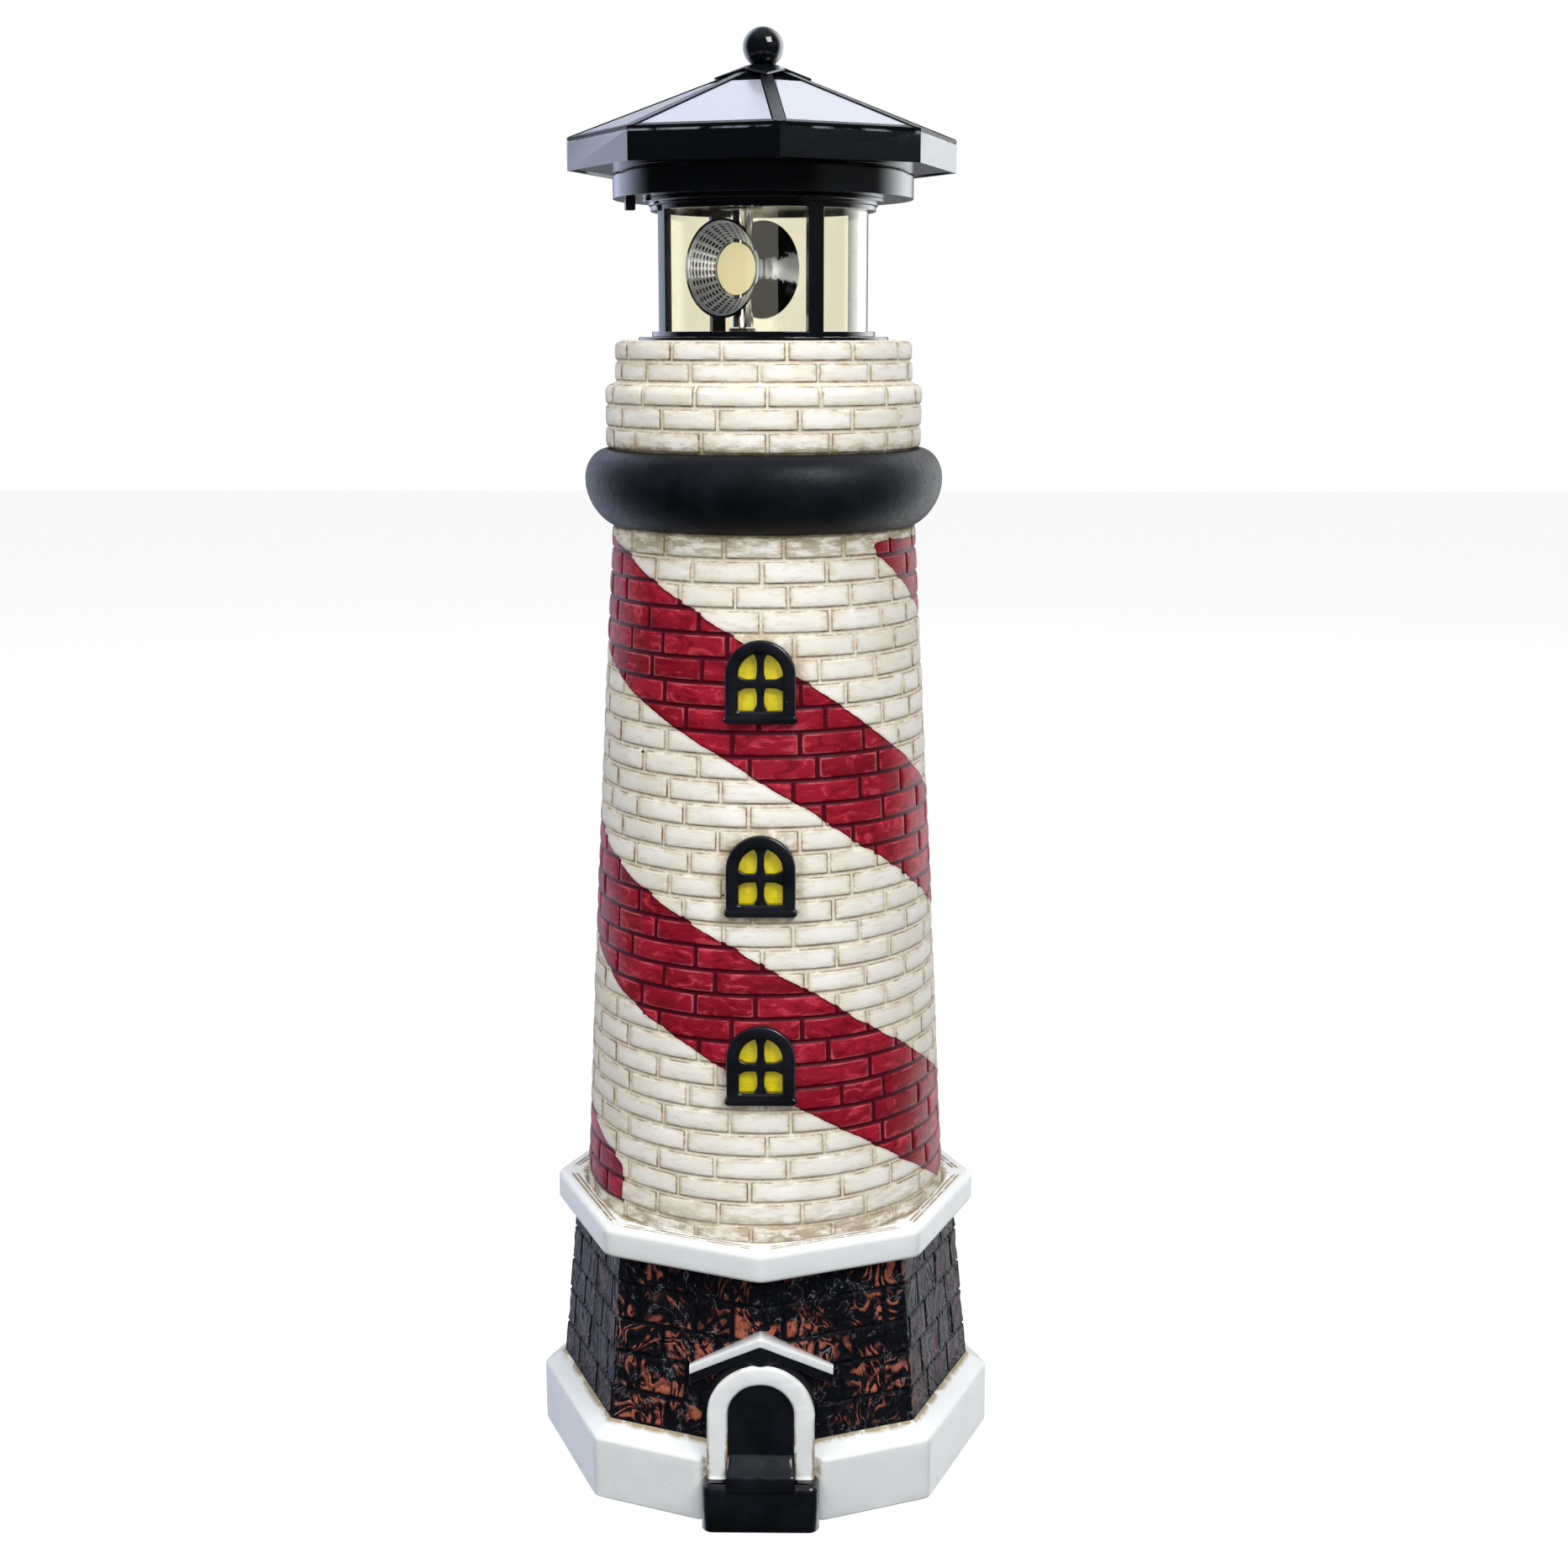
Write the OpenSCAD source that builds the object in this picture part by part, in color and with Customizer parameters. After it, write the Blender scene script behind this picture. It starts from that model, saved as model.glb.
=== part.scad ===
// Solar garden lighthouse: octagonal base, tapered brick tower and a lift-off
// lamp head, whose twin reflectors turn inside a clear lantern.
// Millimetres, +Z up, door facing -Y, origin under the middle of the plinth.

/* [Plinth] */
// Corner radius of the octagonal plinth
plinth_r = 66.3; // [64:0.1:75]
// Height of the plinth's upright faces
plinth_face_h = 18.5; // [16:0.5:24]
// Height of the slope on top of the plinth
plinth_slope_h = 3.2; // [1:0.1:6]
// Wall of the plinth at the middle of a face
plinth_wall = 11.25; // [8:0.05:13]

/* [Stone base] */
// Distance of the stone base's corners inside the plinth's
stone_inset = 6.2; // [4:0.1:9]
// Inward lean of the stone base's corners from foot to top
stone_batter = 4.5; // [0:0.1:6]
// Height of the stone base
stone_h = 48.7; // [46:0.5:60]
// Wall of the stone base at the top of a face
stone_wall = 5.35; // [4:0.05:8]
// Courses of stone
stone_courses = 5; // [3:1:7]

/* [Cornice] */
// Distance of the cornice's corners outside the stone base's
cornice_over = 5.6; // [3:0.1:8]
// Height of the cornice
cornice_h = 8.5; // [8:0.1:14]
// Bevel on the cornice's edges
cornice_bevel = 1.4; // [0.5:0.1:2]
// Depth that the tower's foot sits in the cornice
cornice_seat = 2.5; // [1:0.1:2.8]
// Width of the ledge inside the joint between the stone base and the cornice
cornice_lip = 3.5; // [2:0.1:3.6]

/* [Tower] */
// Width of the cornice's ledge round the tower at the middle of a face
tower_ledge = 4.64; // [2.5:0.01:7]
// Radius of the tower at its top
tower_top_r = 41.7; // [38:0.1:46]
// Height of the tower casting
tower_h = 192.6; // [180:1:230]
// Wall of the tower
tower_wall = 5; // [4:0.1:6]
// Outward swell of the tower at half height
tower_swell = 0.4; // [0:0.1:1.5]
// Courses of brick up the tower
course_count = 30; // [24:1:36]
// Width of a mortar joint
joint_w = 0.9; // [0.5:0.1:1.4]
// Depth of a mortar joint
joint_depth = 0.45; // [0.2:0.05:0.8]

/* [Gallery ring] */
// How far the gallery ring stands out from the tower
ring_over = 7.4; // [5:0.1:11]
// Height of the gallery ring
ring_h = 20.5; // [16:0.5:26]
// Height of its widest place, as a share of its height
ring_belly = 0.6; // [0.4:0.05:0.7]
// Width of the ledge outside the joints above and below the ring
ring_ledge = 2.2; // [1.8:0.1:3]

/* [Parapet] */
// How far the parapet's lower tier stands out from the tower
parapet_over = 1.6; // [0.8:0.1:4]
// How far the upper tier steps in
tier_step = 2.9; // [1.8:0.1:4]
// Width of the parapet's rim
parapet_rim = 6.1; // [4:0.1:8]
// Height of the lower tier
parapet_lower_h = 18; // [15:0.5:24]
// Height of the upper tier
parapet_upper_h = 10.9; // [8:0.1:14]
// Courses of brick in the lower tier
parapet_lower_courses = 3; // [2:1:4]
// Courses of brick in the upper tier
parapet_upper_courses = 2; // [1:1:3]
// Depth from the parapet's top to the shelf that carries the lamp head
parapet_seat = 2.4; // [1:0.1:3]

/* [Joints between castings] */
// Height of the spigots that line up the castings
spigot_h = 4; // [2:0.5:5]
// Clearance round a spigot or a glued piece
glue_gap = 0.1; // [0.05:0.01:0.2]

/* [Windows] */
// Width of a window frame
window_w = 18.5; // [15:0.1:22]
// Height of a window frame
window_h = 22; // [20:0.1:27]
// Height of the lowest window's sill
window_low_z = 117.1; // [100:0.5:125]
// Distance from one window to the next
window_pitch = 51.5; // [45:0.5:55]
// Width of the frame's border
window_border = 3.2; // [2:0.1:4]
// Width of the upright bar
window_mullion = 1.9; // [1:0.1:3]
// Height of the cross bar
window_transom = 2.6; // [1:0.1:3.5]
// Extra width of the sill at each side
window_sill_over = 0.4; // [0.2:0.1:2]
// Height of the sill
window_sill_h = 2.4; // [1:0.1:3]
// Depth of the pocket that holds a window
window_pocket = 2.6; // [2:0.1:3]
// How far a frame stands out of the wall
window_proud = 1.5; // [0.8:0.1:3]
// Thickness of the yellow pane
pane_t = 0.8; // [0.5:0.1:1.5]

/* [Door and porch] */
// Width of the door opening
door_w = 18.2; // [14:0.1:20]
// Height of the door opening above the ground
door_top_z = 41; // [36:0.1:44]
// Width of the white arch round the door
door_border = 5.6; // [3:0.05:6]
// Distance of the arch's front behind the plinth's front corner
door_setback = 5; // [4:0.1:6]
// How far the door leaf stands behind the arch's front
door_recess = 1; // [0.5:0.1:2]
// Thickness of the door leaf
door_t = 1.4; // [1:0.1:2]
// Depth of the flat that is cut in the plinth's front corner for the door
door_notch_d = 7.8; // [6.5:0.1:10]
// Width of the lower step
step_w = 32; // [30:0.5:40]
// Height of the lower step
step_h = 13.5; // [10:0.5:16]
// Distance of the lower step's front behind the plinth's front corner
step_setback = 0.5; // [0.1:0.1:2]
// Rounding of the lower step's front corners
step_round = 2.5; // [0.5:0.1:4]
// Height of the threshold's nose above the lower step
threshold_h = 3.5; // [2:0.1:5]
// Rise of the threshold from its nose to the door leaf
threshold_rise = 3.5; // [2:0.1:4.5]
// Half width of the porch roof
porch_half_w = 19.8; // [16:0.1:24]
// Height of the porch roof's ridge above the ground
porch_ridge_z = 55.2; // [54:0.1:64]
// Drop of the porch roof from its ridge to its eave
porch_drop = 13.2; // [8:0.1:15]
// Thickness of the white porch roof
porch_t = 2.2; // [1.5:0.1:4]
// Thickness of the black beam under it
beam_t = 2.6; // [1.5:0.1:4]
// Distance of the porch roof's front behind the plinth's front corner
porch_setback = 4.3; // [2:0.1:6]
// How far the middle of the porch roof stands ahead of its ends
porch_lead = 10.4; // [8:0.1:11]
// How far the beam is set back from the roof's front
beam_setback = 0.6; // [0.3:0.1:3]

/* [Lamp base] */
// Angle that the lamp head is turned to in its seat
lamp_turn = 5.8; // [-20:0.1:20]
// Thickness of the flange
lamp_flange_t = 3.3; // [2.5:0.1:5]
// Width of the flange outside the skirt
lamp_lip = 3; // [2:0.1:4]
// Wall of the skirt
lamp_skirt_wall = 2; // [1.2:0.1:3]
// Depth of the skirt
lamp_skirt_h = 11; // [6:0.5:13]
// Loose clearance between the lamp head and the tower
head_gap = 0.3; // [0.3:0.05:0.6]

/* [Lantern] */
// Clear height of the lantern
lantern_h = 34.3; // [31:0.1:44]
// Distance of the lens inside the flange's edge
lens_inset = 5.7; // [5.2:0.1:6.5]
// Wall of the lens
lens_wall = 1; // [0.7:0.1:1.5]
// Depth of the grooves that hold the lens
lens_groove = 0.9; // [0.5:0.1:1.2]
// Radial thickness of the lantern's posts and rings
post_t = 1.95; // [1.5:0.05:2.4]
// Angle that one post covers
post_sweep = 8.6; // [6:0.1:14]
// Height of the lantern frame's two rings
frame_ring_h = 1.4; // [1:0.1:3]
// How far the lantern cap's upper step stands out from the lens
cap_over = 4.3; // [3.2:0.1:5.2]
// How far its lower step stands out from the lens
cap_low_over = 2.6; // [2:0.1:3]
// Thickness of the lantern cap
cap_t = 1.8; // [1.6:0.1:3]

/* [Rotor] */
// Distance of the rotor's axis from the lantern's axis
rotor_offset = 5.8; // [5:0.1:6.5]
// Angle of the front reflector at rest, from the lamp head's front
rotor_turn = -45; // [-180:1:180]
// Height of the reflectors' axis above the lamp base
rotor_lift = 18; // [15.5:0.1:19]
// Outer radius of the rotor's shaft
shaft_r = 3; // [2.8:0.05:3.4]
// Radius of the hollow in the shaft
shaft_bore_r = 2.1; // [1.8:0.05:2.3]
// Outer radius of the drum between the reflectors
drum_r = 7.5; // [6.5:0.1:8]
// Wall of the drum
drum_wall = 0.6; // [0.5:0.1:1]
// Half length of the drum
drum_half = 2.4; // [2:0.1:3]
// Outer radius of a reflector's rim
cup_r = 13.1; // [11:0.1:13.8]
// Depth of a reflector in front of the drum
cup_depth = 6; // [4:0.1:8]
// Wall of a reflector
cup_wall = 0.7; // [0.5:0.1:1]
// Thickness of a diffuser's edge
diffuser_t = 0.6; // [0.4:0.05:0.8]
// Radius of the pivot pin under the rotor
pivot_r = 1; // [0.8:0.05:1.5]
// Running clearance of the rotor's shaft and pin
run_gap = 0.05; // [0.02:0.01:0.09]
// End play of the turning pieces
end_play = 0.3; // [0.2:0.05:0.5]

/* [Bushings] */
// Outer radius of the lower bushing
low_bush_r = 3.6; // [2.5:0.1:5]
// Height of the lower bushing above the lamp base
low_bush_h = 2.3; // [1.5:0.1:4]
// Radius of the lower bushing's spigot in the lamp base
low_bush_spigot_r = 2; // [1.8:0.1:2.4]
// Outer radius of the upper bushing
up_bush_r = 4.4; // [4:0.1:5]
// Radius of the upper bushing's flange
up_bush_flange_r = 5.6; // [5.2:0.1:6.5]
// Thickness of the upper bushing's flange
up_bush_flange_t = 0.8; // [0.5:0.1:1.2]

/* [Gears and motor] */
// Tooth module of the gear pair
gear_module = 0.5; // [0.45:0.01:0.52]
// Teeth of the rotor gear
gear_teeth = 36; // [30:2:36]
// Teeth of the motor pinion
pinion_teeth = 12; // [10:2:14]
// Width of both gears
gear_w = 2.6; // [2:0.1:3]
// Extra distance between the gears' axes for backlash
mesh_play = 0.1; // [0.05:0.01:0.2]
// Radius of the motor's shaft
motor_shaft_r = 1; // [0.8:0.05:1.2]
// Radius of the motor
motor_r = 8; // [7:0.1:8.3]
// Height of the motor
motor_h = 12; // [8:0.5:15]
// Thickness of the motor plate
motor_plate_t = 1.4; // [1:0.1:2.4]
// Half depth of the motor plate
motor_plate_half = 8; // [7:0.1:8.4]

/* [LED] */
// Radius of the LED bulb
led_r = 1.5; // [1:0.1:1.6]
// Radius of the fixed stem that carries the LED
led_stem_r = 1; // [0.7:0.1:1.4]

/* [Collar] */
// Outer radius of the collar
collar_r = 40.4; // [40:0.1:43]
// Height of the collar that shows under the roof
collar_show_h = 7.2; // [6.6:0.1:13]
// Wall of the collar
collar_wall = 1.4; // [1:0.1:1.6]
// Thickness of the collar's floor
collar_floor_t = 1.8; // [1.6:0.1:2.4]
// Thickness of the octagonal brim on the collar
brim_t = 1.6; // [1.4:0.1:2.2]
// Height of the collar's wall above the brim
collar_upstand = 4.6; // [3:0.1:5]

/* [Roof] */
// Corner radius of the roof
roof_r = 52.4; // [51.5:0.1:60]
// Height of the roof's upright fascia
fascia_h = 7.4; // [7:0.1:12]
// Wall of the fascia and of the roof
roof_wall = 1.4; // [1:0.1:1.8]
// Rise of the roof from its eave to its apex
roof_rise = 18; // [14:0.1:26]
// Corner radius of the roof's flat apex
apex_r = 4.6; // [4:0.1:6]
// Width of a hip rib
rib_w = 3; // [2:0.1:4]
// Height of the ribs above the roof's faces
rib_h = 1; // [0.9:0.1:2]
// Width of the border along an eave
eave_w = 2.2; // [1.5:0.1:3.5]
// Thickness of a solar panel
panel_t = 0.9; // [0.5:0.05:0.9]
// Clearance round a solar panel
panel_gap = 0.2; // [0.1:0.05:0.4]
// Thickness of the star-shaped cap on the apex
cap_plate_t = 0.6; // [0.5:0.01:2]
// Radius of the star's tips
star_tip_r = 13; // [9:0.5:18]
// Radius of the star's inner corners
star_root_r = 7.5; // [6:0.5:9]
// Radius of the finial ball
ball_r = 5.37; // [4:0.01:7]
// Radius of the ball's flat seat on the cap
ball_seat_r = 2.5; // [2:0.1:3]
// Radius of the finial's stem
stem_r = 1.5; // [1.2:0.1:2]
// Length of the finial's stem below the cap
stem_l = 6; // [4:0.5:8]

/* [Battery and board] */
// Radius of the rechargeable cell
cell_r = 7.25; // [6.5:0.05:7.3]
// Length of the cell without its button
cell_l = 49.5; // [44:0.1:49.5]
// Length of the cell's button
button_l = 1; // [0.5:0.1:1.5]
// Length of the fitted contact spring
spring_l = 3; // [2:0.1:3.4]
// Radius of the contact spring's wire
wire_r = 0.3; // [0.2:0.05:0.35]
// Thickness of the flat contact
contact_t = 0.5; // [0.3:0.1:0.8]
// Distance of the cell's axis from the lamp head's axis
cell_offset = 18.2; // [18.1:0.1:18.4]
// Wall of the battery cradle
cradle_wall = 1; // [0.8:0.05:1.05]
// Thickness of the battery cradle's floor
cradle_floor_t = 1; // [0.6:0.1:2]
// Length of the circuit board
board_l = 34; // [30:0.5:36]
// Width of the circuit board
board_w = 15; // [12:0.5:15.5]
// Thickness of the circuit board
board_t = 1.6; // [1:0.1:2]
// Distance of the board's middle from the lamp head's axis
board_offset = 24; // [22:0.1:25]
// Height of the board above the collar's floor
board_lift = 3.8; // [3:0.1:5]

/* [Switch] */
// Angle of the switch round the collar, from the lamp head's front
switch_angle = -84; // [-100:1:-76]
// Distance of the switch from the axis
switch_at_r = 36; // [35.6:0.1:36.2]
// Width of the switch knob along its travel
knob_w = 3.2; // [2.5:0.1:4]
// Depth of the switch knob
knob_d = 2.6; // [2:0.1:2.8]
// How far the knob hangs below the collar
knob_drop = 3; // [2:0.1:4]
// Travel of the switch knob
knob_travel = 2; // [1.5:0.1:2.5]
// Clearance round the knob
knob_gap = 0.3; // [0.2:0.05:0.35]
// Height of the switch body
switch_h = 4.5; // [3:0.1:6]

/* [Screws] */
// Radius of the screws' shanks
screw_r = 1; // [0.8:0.05:1.1]
// Radius of the screws' heads
screw_head_r = 1.9; // [1.6:0.1:2]
// Height of the screws' heads
screw_head_h = 0.9; // [0.6:0.1:0.9]
// Radius of the bosses that take the screws
boss_r = 2.4; // [2:0.1:2.4]
// Distance of the cap screws inside the lens
cap_screw_inset = 4.3; // [3.8:0.1:6]

/* [Hidden] */
$fn = 72;

// Small overlap that lets a cut run past a face
over = 0.5;
// Tightness of pieces that are pushed together by hand
push_gap = 0.02;
sides = 8;
side_angle = 360 / sides;
corner_to_flat = cos(side_angle / 2);

// Radii of the castings, from the plinth up to the cornice
plinth_bore_r = plinth_r * corner_to_flat - plinth_wall;
stone_foot_r = plinth_r - stone_inset;
stone_top_r = stone_foot_r - stone_batter;
stone_bore_r = stone_top_r * corner_to_flat - stone_wall;
cornice_r = stone_top_r + cornice_over;
cornice_socket_r = stone_bore_r + cornice_lip;
tower_foot_r = cornice_r * corner_to_flat - tower_ledge;

// Radii of the castings above the tower, and of the lamp head in its seat
ring_r = tower_top_r + ring_over;
ring_socket_r = tower_top_r - ring_ledge;
parapet_r = tower_top_r + parapet_over;
parapet_top_r = parapet_r - tier_step;
lamp_flange_r = parapet_top_r - parapet_rim - head_gap;
lamp_skirt_r = lamp_flange_r - lamp_lip;
lens_r = lamp_flange_r - lens_inset;
cap_r = lens_r + cap_over;
cap_low_r = lens_r + cap_low_over;
cap_screw_at_r = lens_r - cap_screw_inset;

// Fronts of the door's pieces
door_front = plinth_r - door_setback;
leaf_front = door_front - door_recess;
door_notch = plinth_r - door_notch_d;
step_front = plinth_r - step_setback;
porch_front = plinth_r - porch_setback;

// Heights of the stacked castings
plinth_top_z = plinth_face_h + plinth_slope_h;
stone_top_z = plinth_top_z + stone_h;
cornice_top_z = stone_top_z + cornice_h;
tower_z = cornice_top_z - cornice_seat;
tower_top_z = tower_z + tower_h;
ring_top_z = tower_top_z + ring_h;
tier_z = ring_top_z + parapet_lower_h;
parapet_top_z = tier_z + parapet_upper_h;
course_h = tower_h / course_count;
bore_top_r = tower_top_r - tower_wall;
plinth_lip = 0.6;

// Heights of the lamp head
seat_z = parapet_top_z - parapet_seat;
lamp_floor_z = seat_z + lamp_flange_t;
cap_z = lamp_floor_z + lantern_h;
collar_z = cap_z + cap_t;
collar_floor_z = collar_z + collar_floor_t;
fascia_z = collar_z + collar_show_h;
brim_z = fascia_z + head_gap;
brim_top_z = brim_z + brim_t;
collar_top_z = brim_top_z + collar_upstand;
eave_z = fascia_z + fascia_h;
apex_z = eave_z + roof_rise;
hip_slope = atan(roof_rise / (roof_r - apex_r));
face_slope = atan(roof_rise / ((roof_r - apex_r) * corner_to_flat));
rib_edge_lift = rib_w / 2 * tan(face_slope) * sin(side_angle / 2);
cap_lift = rib_h / cos(hip_slope) + rib_edge_lift + push_gap;
cap_plate_z = apex_z + cap_lift + cap_plate_t;
ball_z = cap_plate_z + sqrt(pow(ball_r, 2) - pow(ball_seat_r, 2));

// Roof slopes, along a hip and down the middle of a face
eave_flat = roof_r * corner_to_flat;
apex_flat = apex_r * corner_to_flat;
hip_l = norm([roof_rise, roof_r - apex_r]);
face_l = norm([roof_rise, eave_flat - apex_flat]);
inner_roof_r = roof_r - roof_wall;
roof_drop = roof_wall / cos(face_slope);
boss_at_r = inner_roof_r - boss_r - 2 * panel_gap - over;

// Rotor, gears and motor
rotor_z = lamp_floor_z + rotor_lift;
low_bush_z = lamp_floor_z + low_bush_h;
bush_top_z = collar_floor_z + end_play;
gear_z = bush_top_z + end_play;
gear_r = gear_module * gear_teeth / 2;
pinion_r = gear_module * pinion_teeth / 2;
tooth_addendum = 0.9 * gear_module;
tooth_dedendum = 1.2 * gear_module;
axis_distance = gear_r + pinion_r + mesh_play;
motor_x = axis_distance - rotor_offset;
shaft_top_z = gear_z + gear_w + end_play;
motor_plate_z = shaft_top_z + end_play;
motor_z = motor_plate_z + motor_plate_t;
motor_shaft_in = 3;
motor_ring_wall = 0.9;
motor_ring_h = 2;
throat_r = drum_r + push_gap;
diffuser_r = drum_r - drum_wall - push_gap;
led_clear = 0.4;

// Wall left under the tip of a screw
screw_tip = 0.3;

// Screw places in the lamp head, as [x, y]
cap_screw_places = [
    for (i = [0 : 3]) cap_screw_at_r * [cos(side_angle + i * 90), sin(side_angle + i * 90)]
];
roof_screw_places = [for (i = [0 : 3]) boss_at_r * [cos(i * 90), sin(i * 90)]];
plate_screw_x = motor_x + motor_r + motor_ring_wall + screw_head_r;
plate_screw_back_x = rotor_offset + gear_r + tooth_addendum + boss_r + end_play;
plate_screw_y = motor_plate_half - boss_r;
plate_screw_places = [
    for (y = [-plate_screw_y, plate_screw_y], x = [-plate_screw_back_x, plate_screw_x]) [x, y]
];
board_screw_places = [for (x = [-1, 1]) [x * (board_l / 2 - 2 * boss_r), -board_offset]];

// Slot and pocket of the switch
slot_half_x = knob_w / 2 + knob_travel / 2 + knob_gap;
slot_half_y = knob_d / 2 + knob_gap;
switch_pocket_h = 1.5;

// Battery cradle and circuit board
board_z = collar_floor_z + board_lift;
cradle_half_l = (cell_l + button_l + spring_l) / 2 + contact_t / 2;
cradle_r = cell_r + glue_gap;
cell_z = collar_floor_z + cradle_floor_t + cradle_r;

window_zs = [for (i = [0 : 2]) window_low_z + i * window_pitch];
arch_spring_z = door_top_z - door_w / 2;
stone_fall = (stone_foot_r - stone_top_r) / stone_h;

// Tower radius at height z
function tower_r(z) =
    let (t = (z - tower_z) / tower_h)
    tower_foot_r + (tower_top_r - tower_foot_r) * t + tower_swell * 4 * t * (1 - t);

// Lean of the tower's wall from upright at height z
function tower_lean(z) = atan((tower_r(z - 1) - tower_r(z + 1)) / 2);

// Three points of a V joint in a wall of radius r at height z
function joint(r, z) = [
    [r, z - joint_w / 2],
    [r - joint_depth, z],
    [r, z + joint_w / 2]
];

// Flattens a list of point lists
function flat(lists) = [for (l = lists) each l];

// ---------------------------------------------------------------- helpers

module octagon(r, h, z = 0) {
    translate([0, 0, z]) cylinder(r = r, h = h, $fn = sides);
}

module octagon_taper(r1, r2, h, z = 0) {
    translate([0, 0, z]) cylinder(r1 = r1, r2 = r2, h = h, $fn = sides);
}

module tube(outer, inner, h) {
    difference() {
        cylinder(r = outer, h = h);
        translate([0, 0, -over]) cylinder(r = inner, h = h + 2 * over);
    }
}

// A slab that stands upright and faces the door's side, from an outline in X and Z
module front_slab(back, front) {
    translate([0, -back, 0]) rotate([90, 0, 0]) linear_extrude(front - back) children();
}

// Turns what belongs to the lamp head to the head's own angle
module on_head() {
    rotate([0, 0, lamp_turn]) children();
}

// Moves what turns with the reflectors to their axis
module on_rotor() {
    on_head() translate([-rotor_offset, 0, rotor_z]) rotate([0, 0, rotor_turn]) children();
}

// Repeats something at each of the given places
module at_places(places, z) {
    for (p = places) translate([p[0], p[1], z]) children();
}

// ---------------------------------------------------------------- castings

module plinth_solid() {
    difference() {
        union() {
            octagon(plinth_r, plinth_face_h);
            octagon_taper(plinth_r, stone_foot_r + plinth_lip, plinth_slope_h, plinth_face_h);
        }
        front_slab(door_notch, plinth_r + over) {
            translate([-step_w / 2 - glue_gap, -over]) square([step_w + 2 * glue_gap, step_h + over]);
            translate([-door_outer_w() / 2 - glue_gap, 0])
                square([door_outer_w() + 2 * glue_gap, plinth_top_z + over]);
        }
    }
}

module plinth() {
    color("white")
    difference() {
        plinth_solid();
        translate([0, 0, -over]) cylinder(r = plinth_bore_r, h = plinth_top_z + 2 * over);
    }
}

module stone_solid() {
    octagon_taper(stone_foot_r, stone_top_r, stone_h, plinth_top_z);
}

// Horizontal joints between the courses of stone
module stone_joints() {
    for (i = [1 : stone_courses - 1]) {
        rise = i * stone_h / stone_courses;
        r = stone_foot_r - stone_fall * rise;
        translate([0, 0, plinth_top_z + rise - joint_w / 2])
            difference() {
                cylinder(r = r + 2, h = joint_w, $fn = sides);
                translate([0, 0, -over]) cylinder(r = r - joint_depth, h = joint_w + 2 * over, $fn = sides);
            }
    }
}

module stone_base() {
    color("dimgray")
    difference() {
        union() {
            difference() {
                stone_solid();
                stone_joints();
                front_slab(leaf_front - door_t - glue_gap, stone_foot_r + over) arch(door_w, door_top_z);
            }
            translate([0, 0, plinth_top_z - spigot_h]) cylinder(r = plinth_bore_r - glue_gap, h = spigot_h);
            translate([0, 0, stone_top_z]) cylinder(r = cornice_socket_r - glue_gap, h = spigot_h);
        }
        translate([0, 0, plinth_top_z - spigot_h - over])
            cylinder(r = stone_bore_r, h = stone_h + 2 * spigot_h + 2 * over);
    }
}

// The cornice steps in from its rounded edge to a groove that runs round the tower's foot
module cornice() {
    groove_r = (cornice_r + tower_foot_r / corner_to_flat) / 2 - joint_w;
    color("white")
    difference() {
        union() {
            octagon_taper(cornice_r - cornice_bevel, cornice_r, cornice_bevel, stone_top_z);
            octagon(cornice_r, cornice_h - 2 * cornice_bevel, stone_top_z + cornice_bevel);
            octagon_taper(cornice_r, cornice_r - cornice_bevel, cornice_bevel, cornice_top_z - cornice_bevel);
        }
        translate([0, 0, stone_top_z - over]) cylinder(r = cornice_socket_r, h = spigot_h + glue_gap + over);
        translate([0, 0, stone_top_z]) cylinder(r = stone_bore_r, h = cornice_h);
        translate([0, 0, tower_z]) cylinder(r = tower_foot_r + glue_gap, h = cornice_seat + over);
        difference() {
            octagon(groove_r + joint_w, joint_depth + over, cornice_top_z - joint_depth);
            octagon(groove_r, joint_depth + 2 * over, cornice_top_z - joint_depth - over);
        }
    }
}

module tower_shell() {
    outside = concat(
        [[tower_foot_r, tower_z]],
        flat([for (i = [1 : course_count - 1]) let (z = tower_z + i * course_h) joint(tower_r(z), z)]),
        [[tower_top_r, tower_top_z]]
    );
    top = [
        [ring_socket_r - glue_gap, tower_top_z],
        [ring_socket_r - glue_gap, tower_top_z + spigot_h],
        [bore_top_r, tower_top_z + spigot_h],
        [bore_top_r, tower_top_z],
        [tower_foot_r - tower_wall, tower_z]
    ];
    color("ivory")
    difference() {
        rotate_extrude() polygon(concat(outside, top));
        for (z = window_zs)
            at_window(z) translate([0, 0, -window_pocket])
                linear_extrude(window_pocket + 5) window_outline(glue_gap);
    }
}

// Outside of the ring: a full round shoulder over a steeper fall to the neck
module gallery_ring() {
    belly_z = tower_top_z + ring_h * ring_belly;
    steps = 10;
    fall = [for (i = [0 : steps]) let (a = i * 90 / steps)
        [tower_top_r + (ring_r - tower_top_r) * pow(sin(a), 1.5), belly_z - (belly_z - tower_top_z) * cos(a)]];
    shoulder = [for (i = [1 : steps]) let (a = i * 90 / steps)
        [parapet_r + (ring_r - parapet_r) * cos(a), belly_z + (ring_top_z - belly_z) * sin(a)]];
    socket_h = spigot_h + glue_gap;
    inside = [
        [ring_socket_r, ring_top_z],
        [ring_socket_r, ring_top_z - socket_h],
        [bore_top_r, ring_top_z - socket_h],
        [bore_top_r, tower_top_z + socket_h],
        [ring_socket_r, tower_top_z + socket_h],
        [ring_socket_r, tower_top_z]
    ];
    color("black") rotate_extrude() polygon(concat(fall, shoulder, inside));
}

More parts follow.
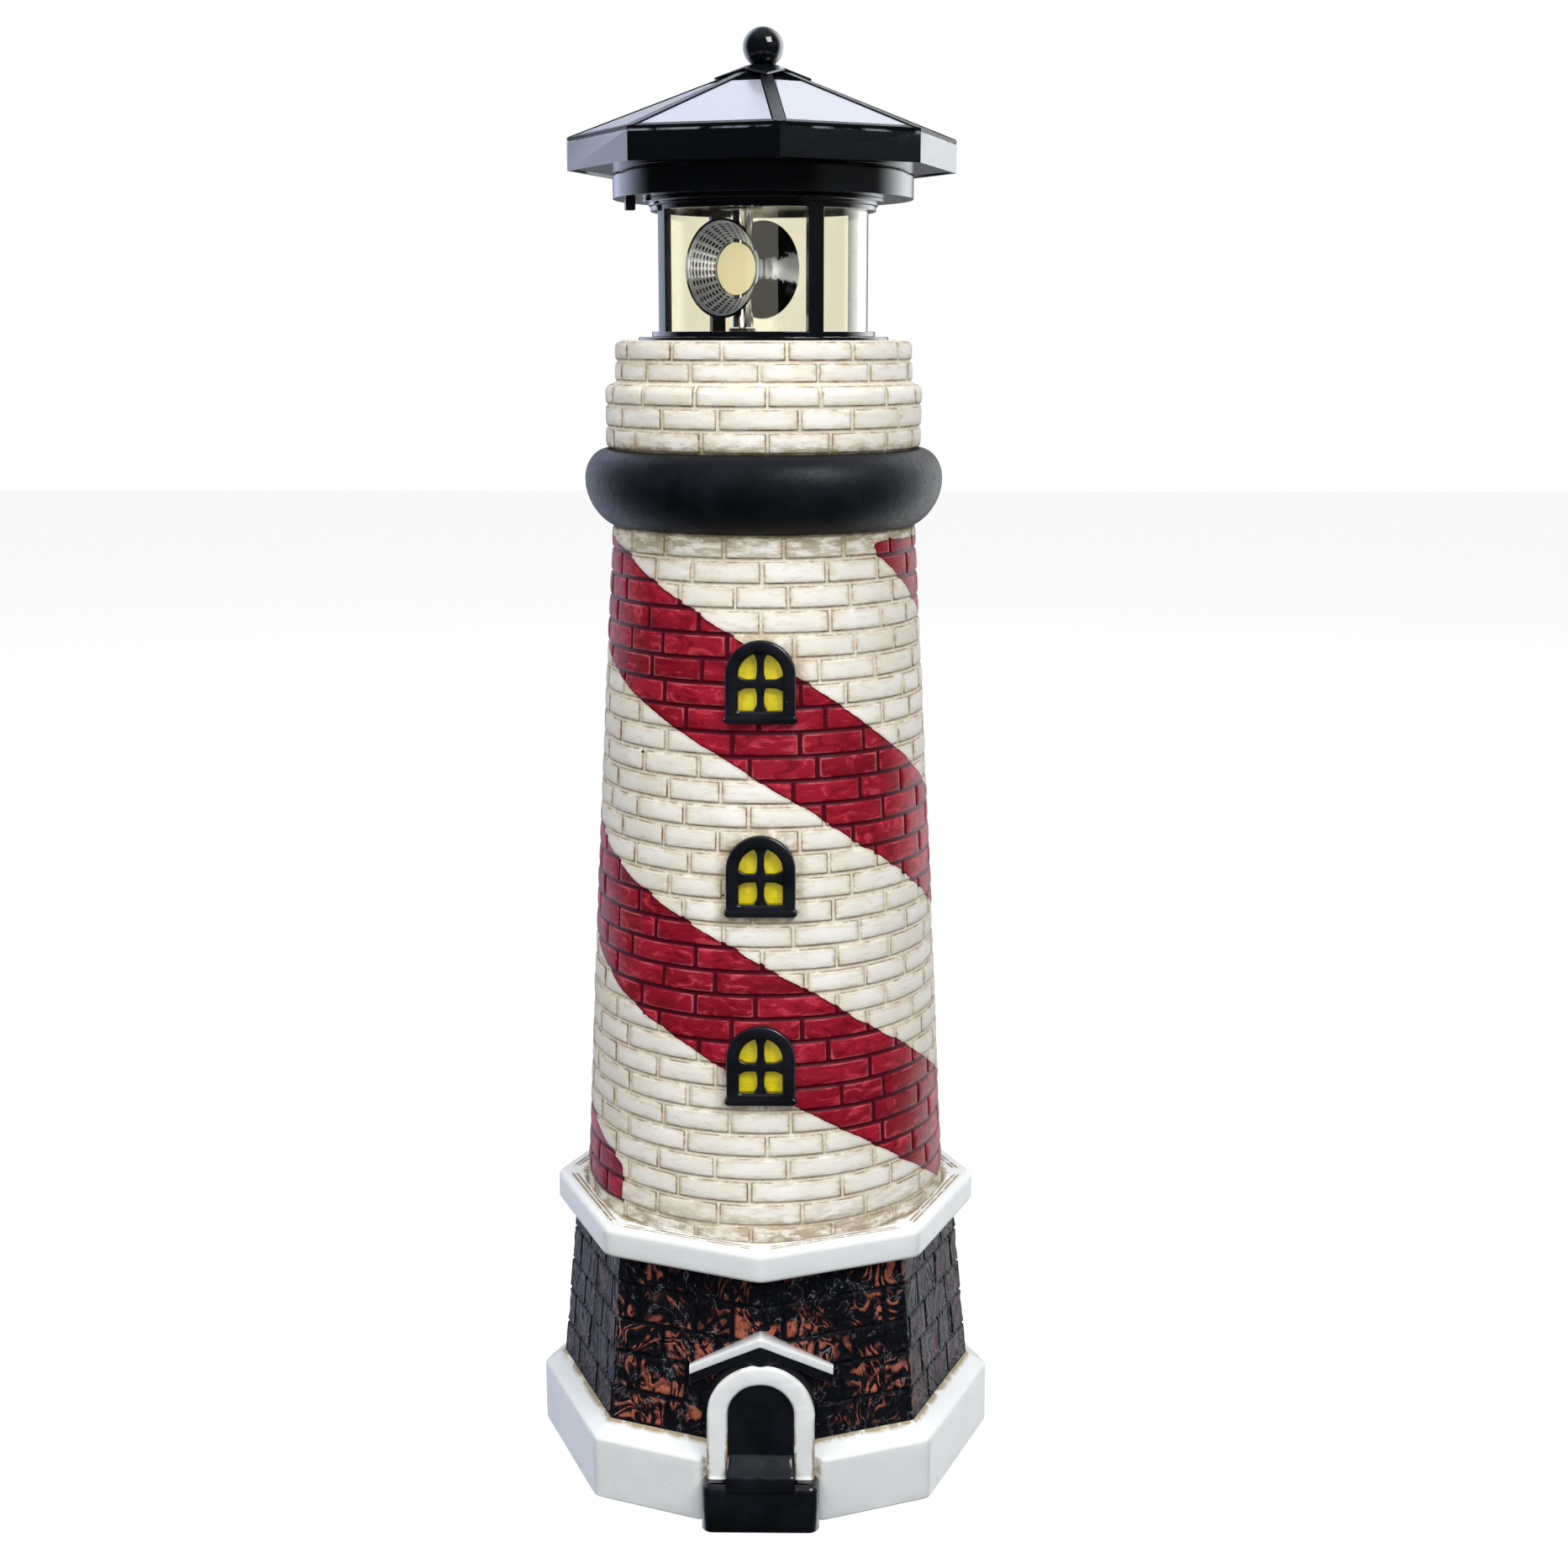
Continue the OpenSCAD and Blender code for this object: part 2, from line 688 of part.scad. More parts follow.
module parapet() {
    lower_course = parapet_lower_h / parapet_lower_courses;
    upper_course = parapet_upper_h / parapet_upper_courses;
    round_by = 1.2;
    outside = concat(
        [[parapet_r - round_by / 2, ring_top_z], [parapet_r, ring_top_z + round_by]],
        flat([for (i = [1 : parapet_lower_courses - 1]) joint(parapet_r, ring_top_z + i * lower_course)]),
        [[parapet_r, tier_z - 2 * round_by], [parapet_r - round_by, tier_z - round_by / 2]],
        [[parapet_top_r + round_by / 3, tier_z]],
        flat([for (i = [1 : parapet_upper_courses - 1]) joint(parapet_top_r, tier_z + i * upper_course)]),
        [[parapet_top_r, parapet_top_z - round_by], [parapet_top_r - round_by, parapet_top_z]]
    );
    shelf_z = seat_z - lamp_skirt_h - 1;
    inside = [
        [lamp_flange_r + head_gap, parapet_top_z],
        [lamp_flange_r + head_gap, seat_z],
        [lamp_skirt_r + head_gap, seat_z],
        [lamp_skirt_r + head_gap, shelf_z],
        [bore_top_r, shelf_z - 2],
        [bore_top_r, ring_top_z - spigot_h],
        [ring_socket_r - glue_gap, ring_top_z - spigot_h],
        [ring_socket_r - glue_gap, ring_top_z]
    ];
    color("ivory") rotate_extrude() polygon(concat(outside, inside));
}

// ---------------------------------------------------------------- windows

// Puts a window's middle on the wall: X to its right, Y up the wall, Z out of it
module at_window(z) {
    middle = z + window_h / 2;
    translate([0, -tower_r(middle), middle]) rotate([90 - tower_lean(middle), 0, 0]) children();
}

// Round-headed outline, w wide and h high, standing on y = 0
module arch(w, h) {
    translate([-w / 2, 0]) square([w, h - w / 2]);
    translate([0, h - w / 2]) circle(r = w / 2);
}

// Outline of a window with its sill, grown by a clearance
module window_outline(gap) {
    sill_w = window_w + 2 * window_sill_over;
    translate([0, -window_h / 2 - gap]) {
        arch(window_w + 2 * gap, window_h + 2 * gap);
        translate([-sill_w / 2 - gap, 0]) square([sill_w + 2 * gap, window_sill_h + 2 * gap]);
    }
}

// The four lights between the border and the cross bars
module window_lights() {
    light_h = window_h - 2 * window_border;
    cross_y = light_h * 0.47;
    translate([0, -window_h / 2 + window_border])
        difference() {
            arch(window_w - 2 * window_border, light_h);
            translate([-window_mullion / 2, 0]) square([window_mullion, window_h]);
            translate([-window_w / 2, cross_y - window_transom / 2]) square([window_w, window_transom]);
        }
}

module window_frame(z) {
    color("black")
    at_window(z) translate([0, 0, pane_t - window_pocket])
        linear_extrude(window_pocket + window_proud - pane_t)
            difference() {
                window_outline(0);
                window_lights();
            }
}

module window_pane(z) {
    color("gold")
    at_window(z) translate([0, 0, -window_pocket])
        linear_extrude(pane_t) window_outline(0);
}

// ---------------------------------------------------------------- door and porch

function door_outer_w() = door_w + 2 * door_border;

// The arch stands on the lower step; its back follows the plinth's flat and the stone faces
module door_surround() {
    color("white")
    difference() {
        front_slab(plinth_bore_r, door_front)
            difference() {
                door_arch_outline();
                translate([0, step_h - over]) arch(door_w, door_top_z - step_h + over);
            }
        stone_solid();
        plinth_solid();
        translate([0, 0, plinth_top_z - spigot_h]) cylinder(r = plinth_bore_r + over, h = spigot_h);
    }
}

// The leaf stands on the back of the threshold, in a shallow pocket of the stone
module door_leaf() {
    leaf_z = step_h + threshold_h + threshold_rise;
    color("black")
    front_slab(leaf_front - door_t, leaf_front)
        translate([0, leaf_z]) arch(door_w - 2 * glue_gap, door_top_z - leaf_z - glue_gap);
}

module door_step() {
    color("black")
    linear_extrude(step_h)
        difference() {
            translate([-step_w / 2, -step_front]) square([step_w, step_front - door_notch]);
            for (side = [-1, 1])
                translate([side * (step_w / 2 - step_round), step_round - step_front])
                    difference() {
                        translate([side * step_round / 2, -step_round / 2 - over / 2])
                            square([step_round + over, step_round + over], center = true);
                        circle(r = step_round);
                        translate([-side * over, 0]) square([2 * over, 2 * step_round], center = true);
                    }
        }
}

// The threshold fills the foot of the doorway: level under the leaf, then a slope down to a round nose
module door_threshold() {
    nose_r = threshold_h / 2;
    front = step_front + (plinth_r - step_front) / 2;
    width = door_w - 2 * glue_gap;
    top = threshold_h + threshold_rise;
    color("black")
    translate([-width / 2, 0, step_h]) rotate([90, 0, 90]) linear_extrude(width) {
        polygon([
            [-door_notch, 0], [-door_notch, top], [-leaf_front, top],
            [nose_r - front, threshold_h], [nose_r - front, 0]
        ]);
        translate([nose_r - front, nose_r]) circle(r = nose_r);
    }
}

// Height that a layer of the porch takes up, measured upright
function porch_rise(t) = t / cos(atan(porch_drop / porch_half_w));

// The slopes of one layer of the porch, seen from the front
module gable_outline(ridge_z, t) {
    eave_z = ridge_z - porch_drop;
    polygon([
        [-porch_half_w, eave_z], [0, ridge_z], [porch_half_w, eave_z],
        [porch_half_w, eave_z - porch_rise(t)], [0, ridge_z - porch_rise(t)],
        [-porch_half_w, eave_z - porch_rise(t)]
    ]);
}

// Carries an outline from a front that falls back at both sides to the stone faces
module against_stone(front) {
    half = porch_half_w + over;
    side = front - porch_lead * half / porch_half_w;
    difference() {
        intersection() {
            front_slab(stone_bore_r, plinth_r) children();
            linear_extrude(stone_top_z)
                polygon([[-half, 0], [-half, -side], [0, -front], [half, -side], [half, 0]]);
        }
        stone_solid();
    }
}

// Outer outline of the arch round the door
module door_arch_outline() {
    translate([0, step_h]) arch(door_outer_w(), door_top_z + door_border - step_h);
}

module porch_roof() {
    color("white") against_stone(porch_front) gable_outline(porch_ridge_z, porch_t);
}

// Between the roof's underside and the arch, which it rests on
module porch_beam() {
    beam_ridge_z = porch_ridge_z - porch_rise(porch_t);
    filler_half = door_outer_w() / 4;
    color("black") against_stone(porch_front - beam_setback) difference() {
        union() {
            gable_outline(beam_ridge_z, beam_t);
            polygon([
                [0, beam_ridge_z], [filler_half, beam_ridge_z - porch_drop * filler_half / porch_half_w],
                [filler_half, step_h], [-filler_half, step_h],
                [-filler_half, beam_ridge_z - porch_drop * filler_half / porch_half_w]
            ]);
        }
        door_arch_outline();
    }
}

// ---------------------------------------------------------------- lantern

module lens_groove_ring(h) {
    tube(lens_r + glue_gap, lens_r - lens_wall - glue_gap, h);
}

module lamp_base() {
    color("black")
    on_head() difference() {
        union() {
            translate([0, 0, seat_z]) cylinder(r = lamp_flange_r, h = lamp_flange_t);
            translate([0, 0, seat_z - lamp_skirt_h])
                tube(lamp_skirt_r, lamp_skirt_r - lamp_skirt_wall, lamp_skirt_h + over);
        }
        translate([0, 0, lamp_floor_z - lens_groove]) lens_groove_ring(lens_groove + over);
        translate([-rotor_offset, 0, seat_z - over])
            cylinder(r = low_bush_spigot_r + glue_gap, h = lamp_flange_t + 2 * over);
    }
}

module lens_cylinder() {
    color("azure", 0.3)
    on_head() translate([0, 0, lamp_floor_z - lens_groove])
        tube(lens_r, lens_r - lens_wall, lantern_h + 2 * lens_groove - glue_gap);
}

// A sleeve round the lens, cut away between its two rings to leave four posts
module lantern_frame() {
    inner = lens_r + glue_gap;
    color("black")
    on_head() translate([0, 0, lamp_floor_z]) difference() {
        tube(inner + post_t, inner, lantern_h);
        for (i = [0 : 3])
            rotate([0, 0, side_angle / 2 + i * 90 + post_sweep / 2])
                translate([0, 0, frame_ring_h]) rotate_extrude(angle = 90 - post_sweep)
                    translate([inner - over, 0]) square([post_t + 2 * over, lantern_h - 2 * frame_ring_h]);
    }
}

module lantern_cap() {
    lower_t = cap_t / 2;
    color("black")
    on_head() difference() {
        translate([0, 0, cap_z]) {
            cylinder(r = cap_low_r, h = cap_t);
            translate([0, 0, lower_t]) cylinder(r = cap_r, h = cap_t - lower_t);
        }
        translate([0, 0, cap_z - over]) lens_groove_ring(lens_groove + over);
        translate([-rotor_offset, 0, cap_z - over]) cylinder(r = up_bush_r + push_gap, h = cap_t + 2 * over);
        cap_screw_holes(cap_z + screw_tip, cap_t);
    }
}

module cap_screw_holes(z, h) {
    at_places(cap_screw_places, z) cylinder(r = screw_r + push_gap, h = h);
}

// ---------------------------------------------------------------- rotor

// Half of the reflectors' axis runs along local -Y
module facing(front) {
    rotate([front ? 90 : -90, 0, 0]) children();
}

module rotor_hub() {
    rod_l = rotor_z - low_bush_z - end_play;
    pin_l = low_bush_h + lamp_flange_t - end_play;
    tube_l = shaft_top_z - rotor_z;
    color("silver")
    on_rotor() difference() {
        union() {
            facing(true) cylinder(r = drum_r, h = 2 * drum_half, center = true);
            cylinder(r = shaft_r, h = tube_l);
            translate([0, 0, -rod_l]) cylinder(r = shaft_r, h = rod_l);
            translate([0, 0, -rod_l - pin_l]) cylinder(r = pivot_r, h = pin_l + over);
        }
        facing(true) cylinder(r = drum_r - drum_wall, h = 2 * shaft_r + 4 * drum_half, center = true);
        cylinder(r = shaft_bore_r, h = tube_l + over);
    }
}

// Radius of the reflecting bowl at distance u from the drum's middle: a parabola
function bowl_r(u) =
    let (rim = cup_r - cup_wall)
    sqrt(pow(throat_r, 2) + (pow(rim, 2) - pow(throat_r, 2)) * (u - drum_half) / cup_depth);

// The bowl is clipped over the drum and saddles the shaft
module reflector(front) {
    steps = 8;
    root = led_clear;
    us = [for (i = [0 : steps]) drum_half + i * cup_depth / steps];
    inner = concat([[throat_r, root]], [for (u = us) [bowl_r(u), u]]);
    outer = concat([for (i = [steps : -1 : 0]) [bowl_r(us[i]) + cup_wall, us[i]]], [[throat_r + cup_wall, root]]);
    color("silver")
    on_rotor() difference() {
        facing(front) rotate_extrude() polygon(concat(inner, outer));
        cylinder(r = shaft_r + push_gap, h = 4 * cup_r, center = true);
    }
}

module diffuser(front) {
    dome = diffuser_t / 2;
    edge = drum_half - diffuser_t;
    steps = 6;
    dome_points = [for (i = [0 : steps]) let (a = i * 90 / steps) [diffuser_r * cos(a), drum_half + dome * sin(a)]];
    color("lightyellow")
    on_rotor() facing(front)
        rotate_extrude() polygon(concat([[0, edge], [diffuser_r, edge]], dome_points));
}

module led_bulb() {
    color("lightyellow")
    on_rotor() {
        sphere(r = led_r);
        cylinder(r = led_r, h = led_r * 1.5);
    }
}

module led_stem() {
    from_z = rotor_z + led_r * 1.5;
    color("gray")
    on_head() translate([-rotor_offset, 0, from_z]) {
        cylinder(r = led_stem_r, h = motor_z - from_z + led_stem_r);
        translate([0, 0, motor_z - from_z]) cylinder(r = led_stem_r * 2, h = led_stem_r);
    }
}

module lower_bushing() {
    color("black")
    on_head() translate([-rotor_offset, 0, seat_z]) difference() {
        union() {
            cylinder(r = low_bush_spigot_r, h = lamp_flange_t + over);
            translate([0, 0, lamp_flange_t]) cylinder(r = low_bush_r, h = low_bush_h);
        }
        translate([0, 0, -over]) cylinder(r = pivot_r + run_gap, h = lamp_flange_t + low_bush_h + 2 * over);
    }
}

module upper_bushing() {
    body_h = bush_top_z - cap_z;
    color("black")
    on_head() translate([-rotor_offset, 0, cap_z]) difference() {
        union() {
            translate([0, 0, -up_bush_flange_t]) cylinder(r = up_bush_flange_r, h = up_bush_flange_t);
            cylinder(r = up_bush_r, h = body_h);
        }
        translate([0, 0, -over - up_bush_flange_t])
            cylinder(r = shaft_r + run_gap, h = body_h + up_bush_flange_t + 2 * over);
    }
}

// ---------------------------------------------------------------- drive

// Outline of a gear with its first tooth at angle first
module gear_outline(teeth, first) {
    r = gear_module * teeth / 2;
    pitch = 360 / teeth;
    root = 0.30;
    flank = 0.215;
    tip = 0.11;
    polygon(flat([for (i = [0 : teeth - 1]) let (a = first + i * pitch) [
        (r - tooth_dedendum) * [cos(a - root * pitch), sin(a - root * pitch)],
        r * [cos(a - flank * pitch), sin(a - flank * pitch)],
        (r + tooth_addendum) * [cos(a - tip * pitch), sin(a - tip * pitch)],
        (r + tooth_addendum) * [cos(a + tip * pitch), sin(a + tip * pitch)],
        r * [cos(a + flank * pitch), sin(a + flank * pitch)],
        (r - tooth_dedendum) * [cos(a + root * pitch), sin(a + root * pitch)]
    ]]));
}

// The gear has a gap on the line of the axes, where the pinion has a tooth
module rotor_gear() {
    color("white")
    on_head() translate([-rotor_offset, 0, gear_z])
        linear_extrude(gear_w) difference() {
            gear_outline(gear_teeth, 180 / gear_teeth);
            circle(r = shaft_r + push_gap);
        }
}

module motor_pinion() {
    color("white")
    on_head() translate([motor_x, 0, gear_z])
        linear_extrude(gear_w) difference() {
            gear_outline(pinion_teeth, 180);
            circle(r = motor_shaft_r + push_gap);
        }
}

module motor_shaft() {
    color("silver")
    on_head() translate([motor_x, 0, gear_z]) cylinder(r = motor_shaft_r, h = motor_z - gear_z + motor_shaft_in);
}

module motor_plate() {
    x_back = plate_screw_back_x + boss_r;
    x_front = plate_screw_x + boss_r;
    color("dimgray")
    on_head() difference() {
        union() {
            translate([-x_back, -motor_plate_half, motor_plate_z])
                cube([x_back + x_front, 2 * motor_plate_half, motor_plate_t]);
            translate([motor_x, 0, motor_plate_z])
                cylinder(r = motor_r + motor_ring_wall, h = motor_plate_t + motor_ring_h);
        }
        translate([motor_x, 0, motor_z]) cylinder(r = motor_r + run_gap, h = motor_ring_h + over);
        translate([motor_x, 0, motor_plate_z - over]) cylinder(r = 2 * motor_shaft_r, h = motor_plate_t + 2 * over);
        translate([-rotor_offset, 0, motor_plate_z - over])
            cylinder(r = led_stem_r + push_gap, h = motor_plate_t + 2 * over);
        at_places(plate_screw_places, motor_plate_z - over)
            cylinder(r = screw_r + glue_gap, h = motor_plate_t + 2 * over);
    }
}

module gear_motor() {
    color("silver")
    on_head() translate([motor_x, 0, motor_z]) difference() {
        union() {
            cylinder(r = motor_r, h = motor_h);
            translate([0, 0, motor_h]) cylinder(r = motor_r / 3, h = 1);
        }
        translate([0, 0, -over]) cylinder(r = motor_shaft_r + run_gap, h = motor_shaft_in + end_play + over);
    }
}

// ---------------------------------------------------------------- collar

// Places of the switch: X along its travel, -Y outwards
module at_switch() {
    on_head() rotate([0, 0, switch_angle]) translate([0, -switch_at_r, 0]) children();
}

module switch_slot(z, h) {
    translate([-slot_half_x, -slot_half_y, z]) cube([2 * slot_half_x, 2 * slot_half_y, h]);
}

module collar_housing() {
    boss_h = motor_plate_z - collar_floor_z;
    color("black") {
        difference() {
            union() {
                on_head() translate([0, 0, collar_z]) cylinder(r = collar_r, h = collar_top_z - collar_z);
                on_head() octagon(inner_roof_r - panel_gap, brim_t, brim_z);
            }
            on_head() {
                translate([0, 0, collar_floor_z]) difference() {
                    cylinder(r = collar_r - collar_wall, h = collar_top_z);
                    at_places(plate_screw_places, -over) screw_boss(boss_h + over);
                    at_places(board_screw_places, -over) screw_boss(board_lift + over);
                }
                translate([-rotor_offset, 0, collar_z - over])
                    cylinder(r = up_bush_r + push_gap, h = collar_floor_t + 2 * over);
                cap_screw_holes(collar_z - over, collar_floor_t + 2 * over);
                at_places(cap_screw_places, collar_floor_z - screw_head_h)
                    cylinder(r = screw_head_r + glue_gap, h = screw_head_h + over);
                at_places(roof_screw_places, brim_z - over) {
                    cylinder(r = screw_r + glue_gap, h = brim_t + 2 * over);
                    cylinder(r = screw_head_r + glue_gap, h = screw_head_h + over);
                }
            }
            at_switch() switch_slot(collar_z - over, collar_floor_t + 2 * over);
        }
    }
}

// A post with a blind hole for a screw
module screw_boss(h) {
    difference() {
        cylinder(r = boss_r, h = h);
        translate([0, 0, over + screw_tip]) cylinder(r = screw_r + push_gap, h = h);
    }
}

module switch_body() {
    half_x = slot_half_x + 1.4;
    color("dimgray")
    at_switch() difference() {
        translate([-half_x, -knob_d / 2 - knob_gap - 0.5, collar_floor_z])
            cube([2 * half_x, knob_d + 2 * knob_gap + 1.2, switch_h]);
        switch_slot(collar_floor_z - over, switch_pocket_h + over);
    }
}

module switch_knob() {
    top_z = collar_floor_z + switch_pocket_h - knob_gap;
    bottom_z = collar_z - knob_drop;
    color("black")
    at_switch() translate([-knob_travel / 2 - knob_w / 2, -knob_d / 2, bottom_z])
        cube([knob_w, knob_d, top_z - bottom_z]);
}

// ---------------------------------------------------------------- roof

// Inside of the roof: straight behind the fascia, then parallel to the roof's faces
module roof_hollow() {
    top_z = eave_z + roof_wall * tan(hip_slope) - roof_drop;
    octagon(inner_roof_r, top_z - fascia_z + over, fascia_z - over);
    octagon_taper(inner_roof_r, apex_r, apex_z - roof_drop - top_z, top_z);
}

// A bar that lies on the roof, from distance out at the eave, sloping up to the apex
module roof_bar(out, slope, l, w, setback) {
    translate([out, 0, eave_z]) rotate([0, slope, 0])
        translate([-l, -w / 2, -roof_wall / 2]) cube([l - setback, w, roof_wall / 2 + rib_h]);
}

module roof_frame() {
    border_w = 2 * (eave_flat - eave_w) * tan(side_angle / 2);
    boss_top_z = eave_z - roof_drop + (roof_r - boss_at_r) * tan(hip_slope);
    color("black")
    on_head() difference() {
        union() {
            difference() {
                union() {
                    octagon(roof_r, fascia_h, fascia_z);
                    octagon_taper(roof_r, apex_r, roof_rise, eave_z);
                }
                roof_hollow();
            }
            intersection() {
                octagon(roof_r, roof_rise + fascia_h, fascia_z);
                for (i = [0 : sides - 1]) rotate([0, 0, i * side_angle]) {
                    roof_bar(roof_r, hip_slope, hip_l, rib_w, over / 2);
                    rotate([0, 0, side_angle / 2])
                        roof_bar(eave_flat, face_slope, eave_w, border_w, over / 2);
                }
            }
            translate([0, 0, apex_z - stem_l - roof_wall]) cylinder(r = stem_r + 2 * roof_wall, h = stem_l + roof_wall);
            at_places(roof_screw_places, brim_top_z) cylinder(r = boss_r, h = boss_top_z - brim_top_z);
        }
        translate([0, 0, apex_z - stem_l]) cylinder(r = stem_r + push_gap, h = stem_l + over);
        at_places(roof_screw_places, brim_top_z - over)
            cylinder(r = screw_r + push_gap, h = boss_top_z - brim_top_z - roof_wall + over);
    }
}

// Half width of a roof face at distance v up its slope
function face_half(v) =
    (eave_flat + (apex_flat - eave_flat) * v / face_l) * tan(side_angle / 2);

module solar_panel(number) {
    foot = eave_w + panel_gap;
    head = face_l - apex_r - 2 * rib_w;
    inset = (rib_w / 2 + panel_gap) / cos(atan(face_half(0) / face_l));
    color("slategray")
    on_head() rotate([0, 0, (number - 0.5) * side_angle - 90])
        translate([eave_flat, 0, eave_z]) rotate([0, face_slope, 0]) translate([0, 0, push_gap])
            linear_extrude(panel_t)
                polygon([
                    [-foot, face_half(foot) - inset], [-head, face_half(head) - inset],
                    [-head, inset - face_half(head)], [-foot, inset - face_half(foot)]
                ]);
}

// A four-pointed star that lies on the ribs, over the place where they meet
module apex_cap() {
    points = [for (i = [0 : 7]) let (r = i % 2 == 0 ? star_tip_r : star_root_r, a = i * side_angle)
        r * [cos(a), sin(a)]];
    color("black")
    on_head() difference() {
        intersection() {
            translate([0, 0, eave_z]) linear_extrude(roof_rise + cap_lift + 2 * cap_plate_t) polygon(points);
            octagon_taper(roof_r, apex_r, roof_rise, eave_z + cap_lift + cap_plate_t);
        }
        octagon_taper(roof_r, apex_r, roof_rise, eave_z + cap_lift);
        translate([0, 0, apex_z]) cylinder(r = stem_r + push_gap, h = cap_lift + 2 * cap_plate_t);
    }
}

module finial_ball() {
    color("black")
    on_head() {
        intersection() {
            translate([0, 0, ball_z]) sphere(r = ball_r);
            translate([0, 0, cap_plate_z]) cylinder(r = 2 * ball_r, h = 3 * ball_r);
        }
        translate([0, 0, apex_z - stem_l + end_play]) cylinder(r = stem_r, h = ball_z - apex_z + stem_l - end_play);
    }
}

// ---------------------------------------------------------------- battery and board

// Frame of the battery: X along the cell, origin at the cradle's middle on the cell's axis
module at_battery() {
    on_head() translate([0, cell_offset, cell_z]) children();
}

module along_x(x, r, l) {
    translate([x, 0, 0]) rotate([0, 90, 0]) cylinder(r = r, h = l);
}

module battery_cradle() {
    outer_l = cradle_half_l + cradle_wall;
    outer_w = cradle_r + cradle_wall;
    depth = cell_z - collar_floor_z;
    color("dimgray")
    at_battery() difference() {
        translate([-outer_l, -outer_w, -depth]) cube([2 * outer_l, 2 * outer_w, depth]);
        along_x(-cradle_half_l, cradle_r, 2 * cradle_half_l);
    }
}

module battery_cell() {
    start_x = spring_l - cradle_half_l;
    color("seagreen")
    at_battery() translate([0, 0, push_gap]) {
        along_x(start_x, cell_r, cell_l);
        along_x(start_x + cell_l - over, cell_r * 0.38, button_l + over);
    }
}

// A coil of wire that narrows from r1 to r2, as rings of points joined into a closed tube
module coil(r1, r2, l, turns, wire) {
    around = 6;
    per_turn = 16;
    count = turns * per_turn;
    points = flat([for (i = [0 : count]) let (
        t = i / count,
        a = i * 360 / per_turn,
        r = r1 + (r2 - r1) * t
    ) [for (k = [0 : around - 1]) let (b = k * 360 / around) [
        wire + (l - 2 * wire) * t + wire * sin(b),
        (r + wire * cos(b)) * cos(a),
        (r + wire * cos(b)) * sin(a)
    ]]]);
    side = flat([for (i = [0 : count - 1], k = [0 : around - 1]) let (
        a = i * around + k,
        b = i * around + (k + 1) % around
    ) [[a, b, b + around], [a, b + around, a + around]]]);
    caps = [
        for (k = [1 : around - 2]) each [
            [0, k + 1, k],
            [count * around, count * around + k, count * around + k + 1]
        ]
    ];
    polyhedron(points, concat(side, caps));
}

module battery_contacts() {
    tab = cradle_r * 0.6;
    color("silver")
    at_battery() {
        translate([-cradle_half_l, 0, 0]) coil(cell_r * 0.7, cell_r * 0.45, spring_l, 3, wire_r);
        translate([cradle_half_l - contact_t, -tab, -tab]) cube([contact_t, 2 * tab, 1.6 * tab]);
    }
}

module circuit_board() {
    color("darkgreen")
    on_head() difference() {
        translate([-board_l / 2, -board_offset - board_w / 2, board_z]) cube([board_l, board_w, board_t]);
        at_places(board_screw_places, board_z - over) cylinder(r = screw_r + glue_gap, h = board_t + 2 * over);
    }
}

// Charging coil, two capacitors, controller chip and the plug for the leads
module board_parts() {
    color("gold")
    on_head() translate([0, -board_offset, board_z + board_t]) {
        translate([-board_l / 8, board_w / 5, 0]) cylinder(r = 2.8, h = 4.5);
        translate([board_l / 8, board_w / 5, 0]) cylinder(r = 2.2, h = 5.5);
        translate([board_l / 8, -board_w / 4, 0]) cylinder(r = 1.8, h = 4);
        translate([-board_l / 8 - 2.5, -board_w / 4 - 2, 0]) cube([5, 4, 1.4]);
    }
}

// ---------------------------------------------------------------- screws

// A screw that points down from its head's underside at z = 0
module screw(l) {
    cylinder(r = screw_head_r, h = screw_head_h);
    translate([0, 0, -l]) cylinder(r = screw_r, h = l + over);
}

module cap_screws() {
    head_z = collar_floor_z - screw_head_h;
    color("silver") on_head() at_places(cap_screw_places, head_z) screw(head_z - cap_z - 2 * screw_tip);
}

module roof_screws() {
    head_z = brim_z + screw_head_h;
    color("silver") on_head() at_places(roof_screw_places, head_z) rotate([180, 0, 0]) screw(brim_t + 3);
}

module plate_screws() {
    color("silver") on_head() at_places(plate_screw_places, motor_z)
        screw(motor_z - collar_floor_z - 2 * screw_tip);
}

module board_screws() {
    head_z = board_z + board_t;
    color("silver") on_head() at_places(board_screw_places, head_z)
        screw(head_z - collar_floor_z - 2 * screw_tip);
}

// ---------------------------------------------------------------- the model

plinth();
stone_base();
cornice();
tower_shell();
gallery_ring();
parapet();
door_surround();
door_leaf();
door_step();
door_threshold();
porch_roof();
porch_beam();
window_frame(window_zs[0]);  // window_frame_low
window_frame(window_zs[1]);  // window_frame_mid
window_frame(window_zs[2]);  // window_frame_top
window_pane(window_zs[0]);  // window_pane_low
window_pane(window_zs[1]);  // window_pane_mid
window_pane(window_zs[2]);  // window_pane_top
lamp_base();
lens_cylinder();
lantern_frame();
lantern_cap();
collar_housing();
roof_frame();
solar_panel(1);  // solar_panel_1
solar_panel(2);  // solar_panel_2
solar_panel(3);  // solar_panel_3
solar_panel(4);  // solar_panel_4
solar_panel(5);  // solar_panel_5
solar_panel(6);  // solar_panel_6
solar_panel(7);  // solar_panel_7
solar_panel(8);  // solar_panel_8
apex_cap();
finial_ball();
lower_bushing();
upper_bushing();
motor_plate();
gear_motor();
led_stem();
led_bulb();
battery_cradle();
battery_cell();
battery_contacts();
circuit_board();
board_parts();
switch_body();
cap_screws();
roof_screws();
plate_screws();
board_screws();
rotor_hub();
reflector(true);  // reflector_front
reflector(false);  // reflector_rear
diffuser(true);  // diffuser_front
diffuser(false);  // diffuser_rear
rotor_gear();
motor_pinion();
motor_shaft();
switch_knob();
